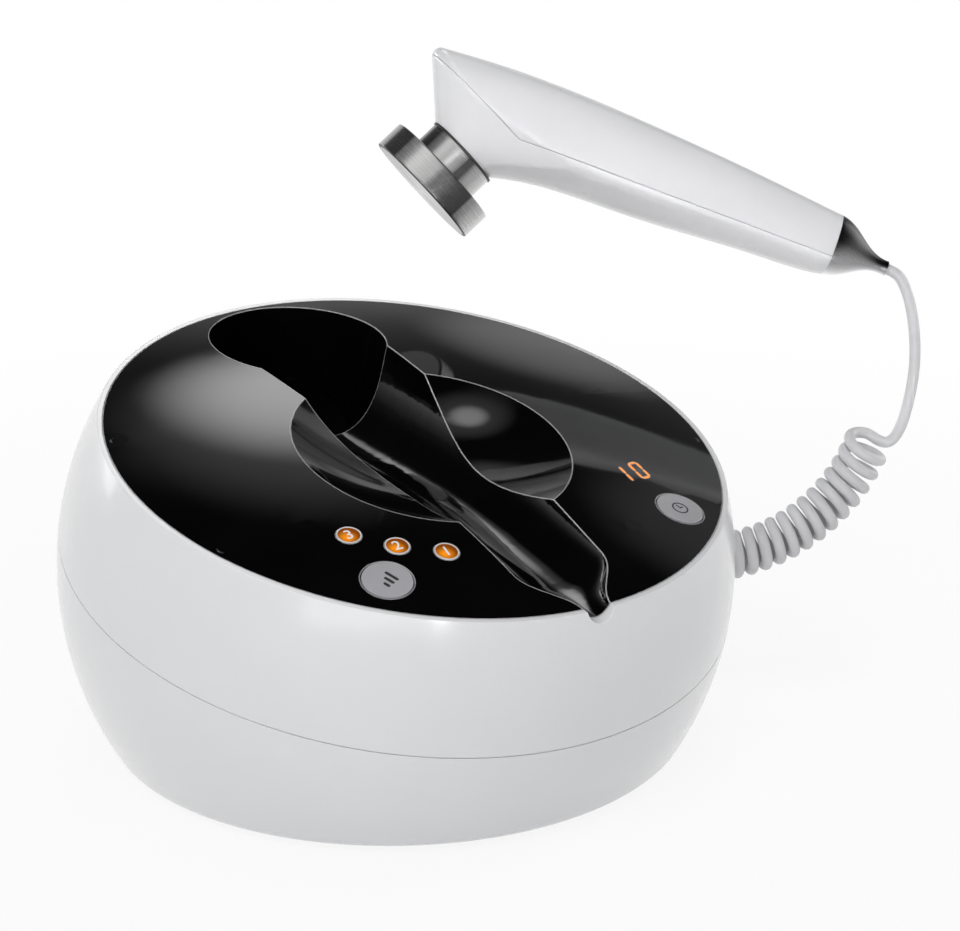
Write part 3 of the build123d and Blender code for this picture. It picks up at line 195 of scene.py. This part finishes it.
def mesh_object(name, verts, faces, place=Matrix.Identity(4)):
    mesh = bpy.data.meshes.new(name)
    mesh.from_pydata([tuple(v) for v in verts], [], faces)
    mesh.validate()
    for polygon in mesh.polygons:
        polygon.use_smooth = True
    return add_object(name, mesh, place)


def spline_points(points, resolution):
    curve = bpy.data.curves.new("line", "CURVE")
    curve.dimensions = "3D"
    curve.resolution_u = resolution
    spline = curve.splines.new("NURBS")
    spline.points.add(len(points) - 1)
    for knot, point in zip(spline.points, points):
        knot.co = (*point, 1)
    spline.order_u = 3
    spline.use_endpoint_u = True
    mesh = mesh_of("line", curve)
    line = [v.co.copy() for v in mesh.vertices]
    bpy.data.meshes.remove(mesh)
    return line


def tube(name, path, radius, sides):
    verts, faces = [], []
    side = Vector((0, 0, 1))
    for i, point in enumerate(path):
        along = (path[min(i + 1, len(path) - 1)] - path[max(i - 1, 0)]).normalized()
        side = (side - along * side.dot(along)).normalized()
        up = along.cross(side)
        for k in range(sides):
            turn = 2 * math.pi * k / sides
            verts.append(point + (side * math.cos(turn) + up * math.sin(turn)) * radius)
        if i:
            ring = (i - 1) * sides
            for k in range(sides):
                after = (k + 1) % sides
                faces.append((ring + k, ring + after, ring + sides + after, ring + sides + k))
    faces.append(tuple(reversed(range(sides))))
    faces.append(tuple(range(len(verts) - sides, len(verts))))
    return mesh_object(name, verts, faces)


def lathe(name, profile, place, steps=96, sharp=math.radians(40)):
    # profile of (radius, height) pairs turned about z; a radius of zero closes the end
    verts, faces, rings = [], [], []
    for radius, height in profile:
        if radius < ON_AXIS:
            rings.append([len(verts)])
            verts.append((0, 0, height))
            continue
        rings.append(list(range(len(verts), len(verts) + steps)))
        for k in range(steps):
            turn = 2 * math.pi * k / steps
            verts.append((radius * math.cos(turn), radius * math.sin(turn), height))
    for low, high in zip(rings, rings[1:]):
        for k in range(steps):
            after = (k + 1) % steps
            quad = [low[k % len(low)], low[after % len(low)], high[after % len(high)], high[k % len(high)]]
            face = list(dict.fromkeys(quad))
            if len(face) > 2:
                faces.append(face)
    obj = mesh_object(name, verts, faces, place)
    obj.data.set_sharp_from_angle(angle=sharp)
    return obj


def rounded(points, radius, steps=5, most=0.45, guard=0.06):
    # a profile with its corners, but not its ends, rounded by at most a share of the edges
    # beside them; a guard point keeps the flat next to each corner flat
    out = [Vector((*points[0], 0))]
    for before, corner, after in zip(points, points[1:], points[2:]):
        before, corner, after = Vector((*before, 0)), Vector((*corner, 0)), Vector((*after, 0))
        cut = min(radius, (before - corner).length * most, (after - corner).length * most)
        start = corner + (before - corner).normalized() * cut
        end = corner + (after - corner).normalized() * cut
        out.append(start.lerp(before, guard))
        for i in range(steps + 1):
            t = i / steps
            out.append(start.lerp(corner, t).lerp(corner.lerp(end, t), t))
        out.append(end.lerp(after, guard))
    out.append(Vector((*points[-1], 0)))
    return [(p.x, p.y) for p in out]


def polar(radius, angle):
    return radius * math.cos(math.radians(angle)), radius * math.sin(math.radians(angle))


def deck_point(x, y):
    # a point on the deck's dome, in the deck's frame, in mm
    return Vector((x, y, DOME_CENTRE_H + math.sqrt(DOME_R**2 - x * x - y * y)))


def on_deck(x, y, lift, turn=0.0):
    # a frame on the deck's dome: z out of the surface, x turned in degrees from the deck's own
    point = deck_point(x, y)
    normal = (point - Vector((0, 0, DOME_CENTRE_H))).normalized()
    along = Vector((math.cos(math.radians(turn)), math.sin(math.radians(turn)), 0))
    along = (along - normal * along.dot(normal)).normalized()
    return DECK @ frame_matrix((point + normal * lift) * MM, along, normal)


def text_mark(name, text, height, place):
    curve = bpy.data.curves.new(name, "FONT")
    curve.body = text
    curve.size = height * FONT_SIZE
    curve.extrude = MARK_T / 2
    curve.offset = height * FONT_WEIGHT
    curve.resolution_u = 6
    curve.align_x, curve.align_y = "CENTER", "CENTER"
    return add_object(name, mesh_of(name, curve), place)


def flat_shape(name, outlines, place):
    # closed outlines of (x, y) points, given the thickness of a mark
    mesh = bmesh.new()
    for outline in outlines:
        low = [mesh.verts.new((x, y, -MARK_T / 2)) for x, y in outline]
        high = [mesh.verts.new((x, y, MARK_T / 2)) for x, y in outline]
        mesh.faces.new(high)
        mesh.faces.new(list(reversed(low)))
        for k in range(len(low)):
            after = (k + 1) % len(low)
            mesh.faces.new((low[k], low[after], high[after], high[k]))
    data = bpy.data.meshes.new(name)
    mesh.to_mesh(data)
    mesh.free()
    return add_object(name, data, place)


def rounded_bar(x, y, width, length, turn=0.0, steps=8):
    # a bar with round ends, from (x, y) on along the turn
    points = []
    for end, start_angle in ((length, -90), (0, 90)):
        for i in range(steps + 1):
            angle = math.radians(start_angle + 180 / steps * i)
            points.append((end + width / 2 * math.cos(angle), width / 2 * math.sin(angle)))
    spin = math.radians(turn)
    return [(x + px * math.cos(spin) - py * math.sin(spin), y + px * math.sin(spin) + py * math.cos(spin))
            for px, py in points]


def ring_parts(radius, width, steps=48):
    parts = []
    for k in range(steps):
        corners = []
        for r, turn in ((radius, k), (radius + width, k), (radius + width, k + 1), (radius, k + 1)):
            angle = 2 * math.pi * turn / steps
            corners.append((r * math.cos(angle), r * math.sin(angle)))
        parts.append(corners)
    return parts


# Curly cord


def at_distance(line, distance):
    travelled = 0.0
    for start, end in zip(line, line[1:]):
        run = (end - start).length
        if travelled + run >= distance or end is line[-1]:
            along = (end - start).normalized()
            return start + along * (distance - travelled), along
        travelled += run


def smooth_step(t):
    return t * t * (3 - 2 * t)


def curl_points(axis):
    # points of the helix, whose curls open a little towards the handpiece
    axis_length = sum((b - a).length for a, b in zip(axis, axis[1:]))
    first = CORD_D + LEAD_IN
    reach = axis_length - first
    points = []
    for i in range(-LEAD_IN_STEPS, int(CURL_TURNS * STEPS_PER_TURN) + 1):
        turns = i / STEPS_PER_TURN
        share = max(turns, 0) / CURL_TURNS
        grown = min(turns, 0) / LEAD_IN_TURNS
        distance = first + reach * (share + CURL_SPREAD * (share * share - share)) + LEAD_IN * grown
        centre, along = at_distance(axis, distance)
        out = Vector((along.y, -along.x, 0))
        lean = LEAN * smooth_step(max(0, 1 - (CURL_TURNS - turns) / LEAN_TURNS))
        front = Vector((0, 0, 1)) * math.cos(lean) - along * math.sin(lean)
        phase = math.radians(90 + 360 * turns)
        radius = CURL_R * smooth_step(1 + grown)
        points.append(centre + (out * math.cos(phase) + front * math.sin(phase)) * radius)
    return points


def make_cord():
    axis = spline_points([Vector(p) for p in COIL_AXIS], AXIS_RESOLUTION)
    points = [Vector(COIL_AXIS[0]), Vector(COIL_AXIS[0]) + Vector((CORD_D, 0, 0))]
    points += curl_points(axis)
    points += [Vector(p) for p in LEAD_ROUTE]
    path = [HELD @ (p * MM) for p in spline_points(points, CORD_RESOLUTION)]
    path = path[:1] + [p for before, p in zip(path, path[1:]) if (p - before).length > LEAST_STEP]
    cord = tube("curly_cord", path, CORD_D * MM / 2, CORD_SIDES)
    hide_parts("cord_coil", "cord_lead")
    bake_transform(cord)
    return cord


# Materials


class Nodes:
    """A node tree, with short ways to add to it."""

    def __init__(self, tree):
        self.tree = tree

    def set(self, node, socket, value):
        if isinstance(value, bpy.types.NodeSocket):
            self.tree.links.new(value, node.inputs[socket])
        elif isinstance(value, tuple) and len(value) == 3 and node.inputs[socket].type == "RGBA":
            node.inputs[socket].default_value = (*value, 1)
        else:
            node.inputs[socket].default_value = value

    def node(self, kind, output=0, **sockets):
        node = self.tree.nodes.new("ShaderNode" + kind)
        for socket, value in sockets.items():
            if hasattr(node, socket):
                setattr(node, socket, value)
            else:
                self.set(node, socket.replace("_", " "), value)
        return node.outputs[output]

    def combine(self, operation, first, second, kind="Math", output=0):
        node = self.tree.nodes.new("ShaderNode" + kind)
        node.operation = operation
        self.set(node, 0, first)
        self.set(node, 1, second)
        return node.outputs[output]

    def length(self, vector):
        return self.node("VectorMath", "Value", operation="LENGTH", Vector=vector)

    def axes(self, vector):
        node = self.tree.nodes.new("ShaderNodeSeparateXYZ")
        self.set(node, "Vector", vector)
        return node.outputs

    def span(self, value, low, high, to_low=0, to_high=1):
        return self.node("MapRange", Value=value, From_Min=low, From_Max=high, To_Min=to_low, To_Max=to_high)

    def ramp(self, value, stops):
        node = self.tree.nodes.new("ShaderNodeValToRGB")
        self.set(node, "Fac", value)
        elements = node.color_ramp.elements
        for position, level in stops:
            elements.new(position).color = (level, level, level, 1)
        elements.remove(elements[0])
        elements.remove(elements[-1])
        return node.outputs[0]

    def blend_colors(self, factor, first, second):
        node = self.tree.nodes.new("ShaderNodeMix")
        node.data_type = "RGBA"
        # a mix node's colours are its inputs 6 and 7 and its output 2
        self.set(node, 0, factor)
        self.set(node, 6, first)
        self.set(node, 7, second)
        return node.outputs[2]


class Shader(Nodes):
    """A material with a Principled shader and the few nodes that vary it."""

    def __init__(self, name, color, roughness, **sockets):
        self.material = bpy.data.materials.new(name)
        self.material.use_nodes = True
        super().__init__(self.material.node_tree)
        self.main = self.tree.nodes["Principled BSDF"]
        self.set(self.main, "Base Color", color)
        self.set(self.main, "Roughness", roughness)
        for socket, value in sockets.items():
            self.set(self.main, socket.replace("_", " "), value)

    def coordinates(self, matrix=None, stretch=(1, 1, 1)):
        # object coordinates, turned into a local frame and stretched
        source = self.node("TexCoord", "Object")
        if matrix is not None:
            source = self.node("Mapping", vector_type="TEXTURE", Vector=source,
                               Location=tuple(matrix.translation), Rotation=tuple(matrix.to_euler()))
        return self.node("Mapping", vector_type="POINT", Vector=source, Scale=stretch)

    def noise(self, scale, detail, vector=None):
        vector = vector or self.coordinates()
        return self.node("TexNoise", "Fac", Vector=vector, Scale=scale, Detail=detail)

    def vary_color(self, factor, first, second):
        self.set(self.main, "Base Color", self.blend_colors(factor, first, second))

    def vary_roughness(self, noise, low, high):
        self.set(self.main, "Roughness", self.span(noise, *NOISE, low, high))

    def soften(self, radius):
        # edges catch the light as if rounded
        self.set(self.main, "Normal", self.node("Bevel", Radius=radius))

    def edges(self, radius, sharp=0.90, flat=0.985):
        # one along sharp edges, none elsewhere; sharp and flat are cosines
        bevel = self.node("Bevel", Radius=radius)
        face = self.node("NewGeometry", "Normal")
        return self.span(self.combine("DOT_PRODUCT", bevel, face, "VectorMath", "Value"), sharp, flat, 1, 0)

    def bump(self, height, depth, strength):
        previous = self.main.inputs["Normal"]
        before = previous.links[0].from_socket if previous.links else None
        node = self.tree.nodes.new("ShaderNodeBump")
        self.set(node, "Strength", strength)
        self.set(node, "Distance", depth)
        self.set(node, "Height", height)
        if before is not None:
            self.set(node, "Normal", before)
        self.set(self.main, "Normal", node.outputs[0])


def gloss_white():
    shader = Shader("white_gloss", (0.78, 0.785, 0.80), 0.2, Coat_Weight=0.35, Coat_Roughness=0.06)
    shader.soften(0.0006)
    cloud = shader.span(shader.noise(22, 3), *CLOUD)
    tint = shader.blend_colors(cloud, (0.775, 0.78, 0.797), (0.79, 0.795, 0.808))
    # painted highlight: sharp edges are lightened to near white, as if catching the light
    shader.vary_color(shader.edges(0.0006), tint, (0.97, 0.97, 0.975))
    handling = shader.noise(160, 5, shader.coordinates(stretch=(1, 0.35, 1)))
    shader.vary_roughness(handling, 0.17, 0.25)
    shader.bump(shader.noise(520, 2), 0.00002, 0.35)
    return shader.material


def gloss_black():
    shader = Shader("black_gloss", (0.002, 0.002, 0.0022), 0.05, IOR=1.5)
    shader.soften(0.0005)
    smears = shader.noise(38, 5)
    scratches = shader.noise(900, 1, shader.coordinates(DECK, (1, 0.03, 1)))
    shader.vary_roughness(smears, 0.035, 0.075)
    cloud = shader.span(smears, *CLOUD)
    tint = shader.blend_colors(cloud, (0.0014, 0.0014, 0.0016), (0.0022, 0.0022, 0.0025))
    # painted highlight: thin near-white lines along the rims' sharp edges
    shader.vary_color(shader.edges(0.0006, 0.96, 0.997), tint, (0.85, 0.85, 0.87))
    shader.bump(scratches, 0.000004, 0.25)
    return shader.material


def grain(name, color, roughness, scale=900, depth=0.00004, strength=0.4, **sockets):
    # moulded plastic or rubber with a fine grain
    shader = Shader(name, color, roughness, **sockets)
    fine = shader.noise(scale, 4)
    shader.vary_roughness(fine, roughness * 0.9, min(1, roughness * 1.12))
    light = tuple(min(1, c * 1.06 + 0.002) for c in color)
    dark = tuple(c * 0.94 for c in color)
    shader.vary_color(shader.span(shader.noise(35, 3), *CLOUD), dark, light)
    shader.bump(fine, depth, strength)
    return shader.material


def brushed(name, color, roughness, matrix=None, anisotropic=0.6, sectors=EVEN_SECTORS, metallic=1.0):
    # metal turned on a lathe: fine rings round the local z axis, and lighter and darker
    # sectors of painted reflection and shade, given from the local x axis round to the opposite side
    shader = Shader(name, color, roughness, Metallic=metallic, Anisotropic=anisotropic)
    x, y, z = shader.axes(shader.coordinates(matrix))
    radius = shader.length(shader.node("CombineXYZ", X=x, Y=y))
    lines = shader.noise(6500.0, 3.0, shader.node("CombineXYZ", X=radius, Y=z))
    turn = shader.node("Math", operation="ABSOLUTE", Value=shader.combine("ARCTAN2", y, x))
    # painted reflections and shade: the sectors' lighter and darker bands scale the base colour
    painted_light_bands = shader.ramp(shader.span(turn, 0, math.pi), sectors)
    shader.vary_roughness(lines, roughness * 0.8, roughness * 1.25)
    metal = shader.blend_colors(shader.span(lines, *NOISE), tuple(c * 0.9 for c in color), color)
    shader.set(shader.main, "Base Color", shader.combine("MULTIPLY", painted_light_bands, metal, "VectorMath"))
    shader.bump(lines, 0.00002, 0.35)
    return shader.material


def lit_lens(name, centre):
    # amber lens, brightest where the lamp sits behind its front left edge
    shader = Shader(name, (0.55, 0.20, 0.02), 0.12, Coat_Weight=0.5)
    local = shader.coordinates(DECK @ Matrix.Translation(centre))
    spread = shader.length(shader.combine("ADD", local, (0.0011, 0.0009, 0), "VectorMath"))
    glow = shader.span(spread, 0.0003, 0.0036, 1, 0)
    hot = shader.blend_colors(glow, (0.20, 0.045, 0.002), (0.85, 0.27, 0.01))
    cloud = shader.span(shader.noise(1500, 2), *NOISE, 0.85, 1.1)
    shader.set(shader.main, "Base Color", hot)
    shader.set(shader.main, "Emission Color", hot)
    shader.set(shader.main, "Emission Strength", shader.combine("MULTIPLY", cloud, 0.5))
    shader.bump(shader.noise(800, 2), 0.00001, 0.2)
    return shader.material


def glowing(name, color, strength):
    shader = Shader(name, color, 0.25)
    shader.set(shader.main, "Emission Color", color)
    shader.set(shader.main, "Emission Strength", strength)
    shader.vary_color(shader.span(shader.noise(900, 2), *NOISE), tuple(c * 0.85 for c in color), color)
    return shader.material


def paint(material, *names):
    for name in names:
        for material_slot in NODES[name].material_slots:
            material_slot.material = material


def own(obj, material, body):
    obj.data.materials.clear()
    obj.data.materials.append(material)
    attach(obj, body)


# Stage


def make_camera():
    data = bpy.data.cameras.new("camera")
    data.lens, data.sensor_width = LENS, SENSOR
    data.clip_start, data.clip_end = CLIP_NEAR, CLIP_FAR
    turned = Matrix((RIGHT, BACK.cross(RIGHT), BACK)).transposed().to_4x4()
    bpy.context.scene.camera = add_object("camera", data, Matrix.Translation(EYE) @ turned)


def make_floor():
    floor = lathe("floor", [(FLOOR_R, 0.0), (0, 0.0)], Matrix.Identity(4), 64)
    shader = Shader("floor_paper", (0.86, 0.86, 0.86), 0.6)
    rays = shader.tree.nodes.new("ShaderNodeLightPath")
    seen = rays.outputs["Is Camera Ray"]
    for kind in ("Is Glossy Ray", "Is Transmission Ray"):
        seen = shader.combine("MAXIMUM", seen, rays.outputs[kind])
    shader.vary_color(seen, (0.80, 0.80, 0.80), (0.98, 0.98, 0.98))
    shader.set(shader.main, "Specular IOR Level", 0.0)
    away = shader.length(shader.node("TexCoord", "Object"))
    white = shader.combine("MULTIPLY", shader.span(away, PAPER_NEAR, PAPER_FAR, PAPER_WHITE, 1.0), seen)
    paper = shader.tree.nodes.new("ShaderNodeMixShader")
    shader.set(paper, 0, white)
    shader.set(paper, 1, shader.main.outputs[0])
    shader.set(paper, 2, shader.node("Emission", Color=(1.0, 1.0, 1.0), Strength=1.0))
    shader.set(shader.tree.nodes["Material Output"], "Surface", paper.outputs[0])
    floor.data.materials.append(shader.material)


def make_world():
    world = bpy.data.worlds.new("studio")
    bpy.context.scene.world = world
    world.use_nodes = True
    sky = Nodes(world.node_tree)
    direction = sky.node("TexCoord", "Generated")
    level = sky.ramp(sky.axes(direction)[2], WORLD_LEVELS)
    for operation, toward, start, end, outside, inside in WORLD_LOBES:
        match = sky.combine("DOT_PRODUCT", direction, Vector(toward).normalized(), "VectorMath", "Value")
        lobe = sky.node("MapRange", interpolation_type="SMOOTHSTEP", Value=match, From_Min=start,
                        From_Max=end, To_Min=outside, To_Max=inside)
        level = sky.combine(operation, level, lobe)
    background = sky.tree.nodes["Background"]
    seen = sky.node("LightPath", "Is Camera Ray")
    sky.set(background, "Color", sky.blend_colors(seen, level, (1.0, 1.0, 1.0)))
    sky.set(background, "Strength", 1.0)


def make_lamps():
    for name, place, target, size, watts, spread, mirrored in LAMPS:
        data = bpy.data.lights.new(name, "AREA")
        data.shape = "RECTANGLE"
        data.size, data.size_y = size
        data.energy = watts
        data.spread = math.radians(spread)
        aim = (Vector(target) - Vector(place)).to_track_quat("-Z", "Y").to_matrix().to_4x4()
        lamp = add_object(name, data, Matrix.Translation(place) @ aim)
        lamp.visible_glossy = mirrored


# Dressing


def dress_cad(dark, rim):
    for obj in NODES.values():
        for polygon in obj.data.polygons:
            polygon.use_smooth = True
    paint(gloss_white(), "lower_shell", "upper_shell", "handpiece_upper_shell", "handpiece_lower_shell",
          "handpiece_screw_plugs")
    paint(gloss_black(), "top_panel")
    paint(grain("key_satin", (0.40, 0.40, 0.42), 0.34, 1600, 0.00002, 0.3), "level_button", "time_button")
    paint(dark, "display_module", "level_plunger", "time_plunger", "level_switch", "time_switch",
          "main_relay", "rocker_housing", "power_rocker", "power_inlet", "power_transistors")
    paint(grain("foot_rubber", (0.035, 0.035, 0.036), 0.75, 700, 0.0001, 0.5), "rubber_feet",
          "handpiece_dock_pad")
    paint(rim, "indicator_bezels", "indicator_leds", "board_sockets")
    paint(grain("board_green", (0.02, 0.13, 0.06), 0.38, 500, 0.00002, 0.4), "level_board", "time_board",
          "main_board", "handpiece_board")
    paint(brushed("screw_zinc", (0.55, 0.55, 0.56), 0.32, None, 0.0), "shell_screws", "panel_screws",
          "control_board_screws", "main_board_screws", "handpiece_screws")
    paint(grain("core_iron", (0.16, 0.16, 0.17), 0.5, 600), "power_transformer")
    paint(grain("copper_winding", (0.50, 0.22, 0.10), 0.35, Metallic=0.9), "output_inductor")
    paint(grain("sink_aluminium", (0.60, 0.61, 0.63), 0.4, Metallic=1.0), "heat_sink")
    paint(grain("capacitor_sleeve", (0.03, 0.035, 0.07), 0.3), "capacitors")
    paint(grain("inner_cable", (0.18, 0.18, 0.20), 0.5), "panel_cable", "handpiece_cable",
          "handpiece_wire")
    paint(glowing("figure_amber", (1.0, 0.27, 0.0), 0.8), "display_digits")
    for number, angle in enumerate(LIGHT_ANGLES, 1):
        centre = deck_point(*polar(LIGHT_RING_R, angle)) * MM
        paint(lit_lens(f"amber_lens_{number}", centre), f"indicator_lens_{number}")
    # the cone's bands are painted reflection and shade: darker on top, lighter underneath
    cone_axis = HAND @ frame_matrix((0, 0, -CONE_AXIS_DROP), (0, 0, 1), (-1, 0, 0))
    paint(brushed("satin_cone", (0.98, 0.98, 1.0), 0.3, cone_axis, 0.0, CONE_PAINTED_LIGHT), "tail_cone")


def add_marks():
    white_ink = grain("white_ink", (0.88, 0.88, 0.88), 0.4, 1500, 0.00001, 0.2)
    black_ink = grain("black_ink", (0.02, 0.02, 0.022), 0.45, 1500, 0.00001, 0.2)
    for number, angle in enumerate(LIGHT_ANGLES, 1):
        place = on_deck(*polar(LIGHT_RING_R, angle), NUMERAL_LIFT, NUMERAL_TURN)
        own(text_mark(f"numeral_{number}", str(number), NUMERAL_H, place), white_ink, "base")
    bars = [rounded_bar((k - 1) * BAR_PITCH, BAR_START, BAR_W, BAR_L + BAR_L * k, 90)
            for k in range(BAR_COUNT)]
    place = on_deck(*polar(KEY_RING_R, LEVEL_ANGLE), KEY_MARK_LIFT, LEVEL_MARK_TURN)
    level = flat_shape("level_mark", bars, place)
    own(level, black_ink, "level_key")
    clock = ring_parts(CLOCK_R, LINE_W)
    clock += [rounded_bar(0, 0, LINE_W, LONG_HAND, 90), rounded_bar(0, 0, LINE_W, SHORT_HAND, 0)]
    place = on_deck(*polar(KEY_RING_R, TIME_ANGLE), KEY_MARK_LIFT, TIME_MARK_TURN)
    time_mark = flat_shape("time_mark", clock, place)
    own(time_mark, black_ink, "time_key")
    rocker = Matrix.Translation(ROCKER_AT) @ Matrix.Rotation(math.radians(-ROCKER_LEAN), 4, "X")
    on_parts = [rounded_bar(0, -ON_LENGTH / 2, LINE_W, ON_LENGTH, 90)]
    off_parts = ring_parts(OFF_R, LINE_W, 32)
    for name, lean, height, parts in (("rocker_on_mark", ROCKER_LEAN, ROCKER_MARK_H, on_parts),
                                      ("rocker_off_mark", -ROCKER_LEAN, -ROCKER_MARK_H, off_parts)):
        face = Matrix.Rotation(math.radians(lean), 4, "X") @ Matrix.Translation((0, ROCKER_FACE, height))
        mark = flat_shape(name, parts, rocker @ face @ Matrix.Rotation(math.radians(-90), 4, "X"))
        own(mark, white_ink, "rocker")


def add_electrode(dark):
    # the neck's and disc's lighter and darker sectors are painted reflections and shade on the steel
    neck_steel, disc_steel = (
        brushed(name, STEEL, STEEL_ROUGHNESS, sectors=sectors, metallic=STEEL_METALLIC)
        for name, sectors in (("neck_steel", NECK_PAINTED_LIGHT), ("disc_steel", DISC_PAINTED_LIGHT)))

    corners = [(BORE_R, NECK_LOW), (NECK_R, NECK_LOW), (NECK_R, COLLAR_LOW), (COLLAR_R, COLLAR_LOW),
               (COLLAR_R, NECK_TOP), (NECK_R, NECK_TOP), (BORE_R, NECK_TOP)]
    neck = lathe("neck_turned", rounded(corners, NECK_EDGE), NECK)
    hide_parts("electrode_neck")
    own(neck, neck_steel, "handpiece")

    corners = [(RING_IN_R, 0.0), (RING_R, 0.0), (RING_R, COLLAR_LOW), (RING_IN_R, COLLAR_LOW)]
    ring = lathe("neck_ring", rounded(corners, RING_EDGE), NECK)
    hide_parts("insulator_ring")
    own(ring, dark, "handpiece")

    side = NECK_TOP + DISC_T - FACE_CROWN
    corners = [(BORE_R, NECK_TOP), (DISC_R, NECK_TOP), (DISC_R, side), (FACE_R, side + FACE_RISE),
               (0.0, side + FACE_CROWN)]
    disc = lathe("disc_turned", rounded(corners, DISC_EDGE), NECK)
    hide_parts("electrode_disc")
    own(disc, disc_steel, "handpiece")
    disc.data.materials.append(brushed("face_steel", (0.30, 0.30, 0.30), 0.2))
    disc.data.materials.append(dark)
    for polygon in disc.data.polygons:
        reach = max(math.hypot(*disc.data.vertices[v].co.xy) for v in polygon.vertices)
        if polygon.center.z > side - FACE_RISE:
            polygon.material_index = 2 if reach > FACE_BAND_R else 1


def add_strain_relief(cord_grey):
    profile = [(0.0, SLEEVE_START), (SLEEVE_R, SLEEVE_START), (SLEEVE_R, RIBS_START)]
    for k in range(RIB_COUNT):
        start = RIBS_START + RIB_PITCH * k
        radius = RIB_R - RIB_TAPER * k
        profile += [(radius - GROOVE_DEPTH, start), (radius - GROOVE_DEPTH, start + GROOVE_W),
                    (radius, start + GROOVE_W), (radius - RIB_SLOPE, start + RIB_PITCH)]
    profile += SLEEVE_TIP
    place = HELD @ Matrix.Translation((0, SLEEVE_SIDE, 0)) @ Matrix.Rotation(math.radians(90), 4, "Y")
    sleeve = lathe("strain_relief", rounded(profile, SLEEVE_EDGE, 3), place, 48)
    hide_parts("cord_gland")
    own(sleeve, cord_grey, "base")


make_camera()
cord = make_cord()
dark = grain("dark_grain", (0.022, 0.022, 0.024), 0.42, 1400, 0.00005, 0.5)
rim = grain("white_rim", (0.80, 0.80, 0.79), 0.25, 1200, 0.00001, 0.2)
dress_cad(dark, rim)
cord_grey = grain("cord_sheath", (0.69, 0.69, 0.705), 0.4, 1200, 0.00003, 0.35)
cord.data.materials.append(cord_grey)
add_marks()
add_electrode(dark)
add_strain_relief(cord_grey)
make_floor()
make_world()
make_lamps()
bpy.context.scene.view_settings.view_transform = "Standard"
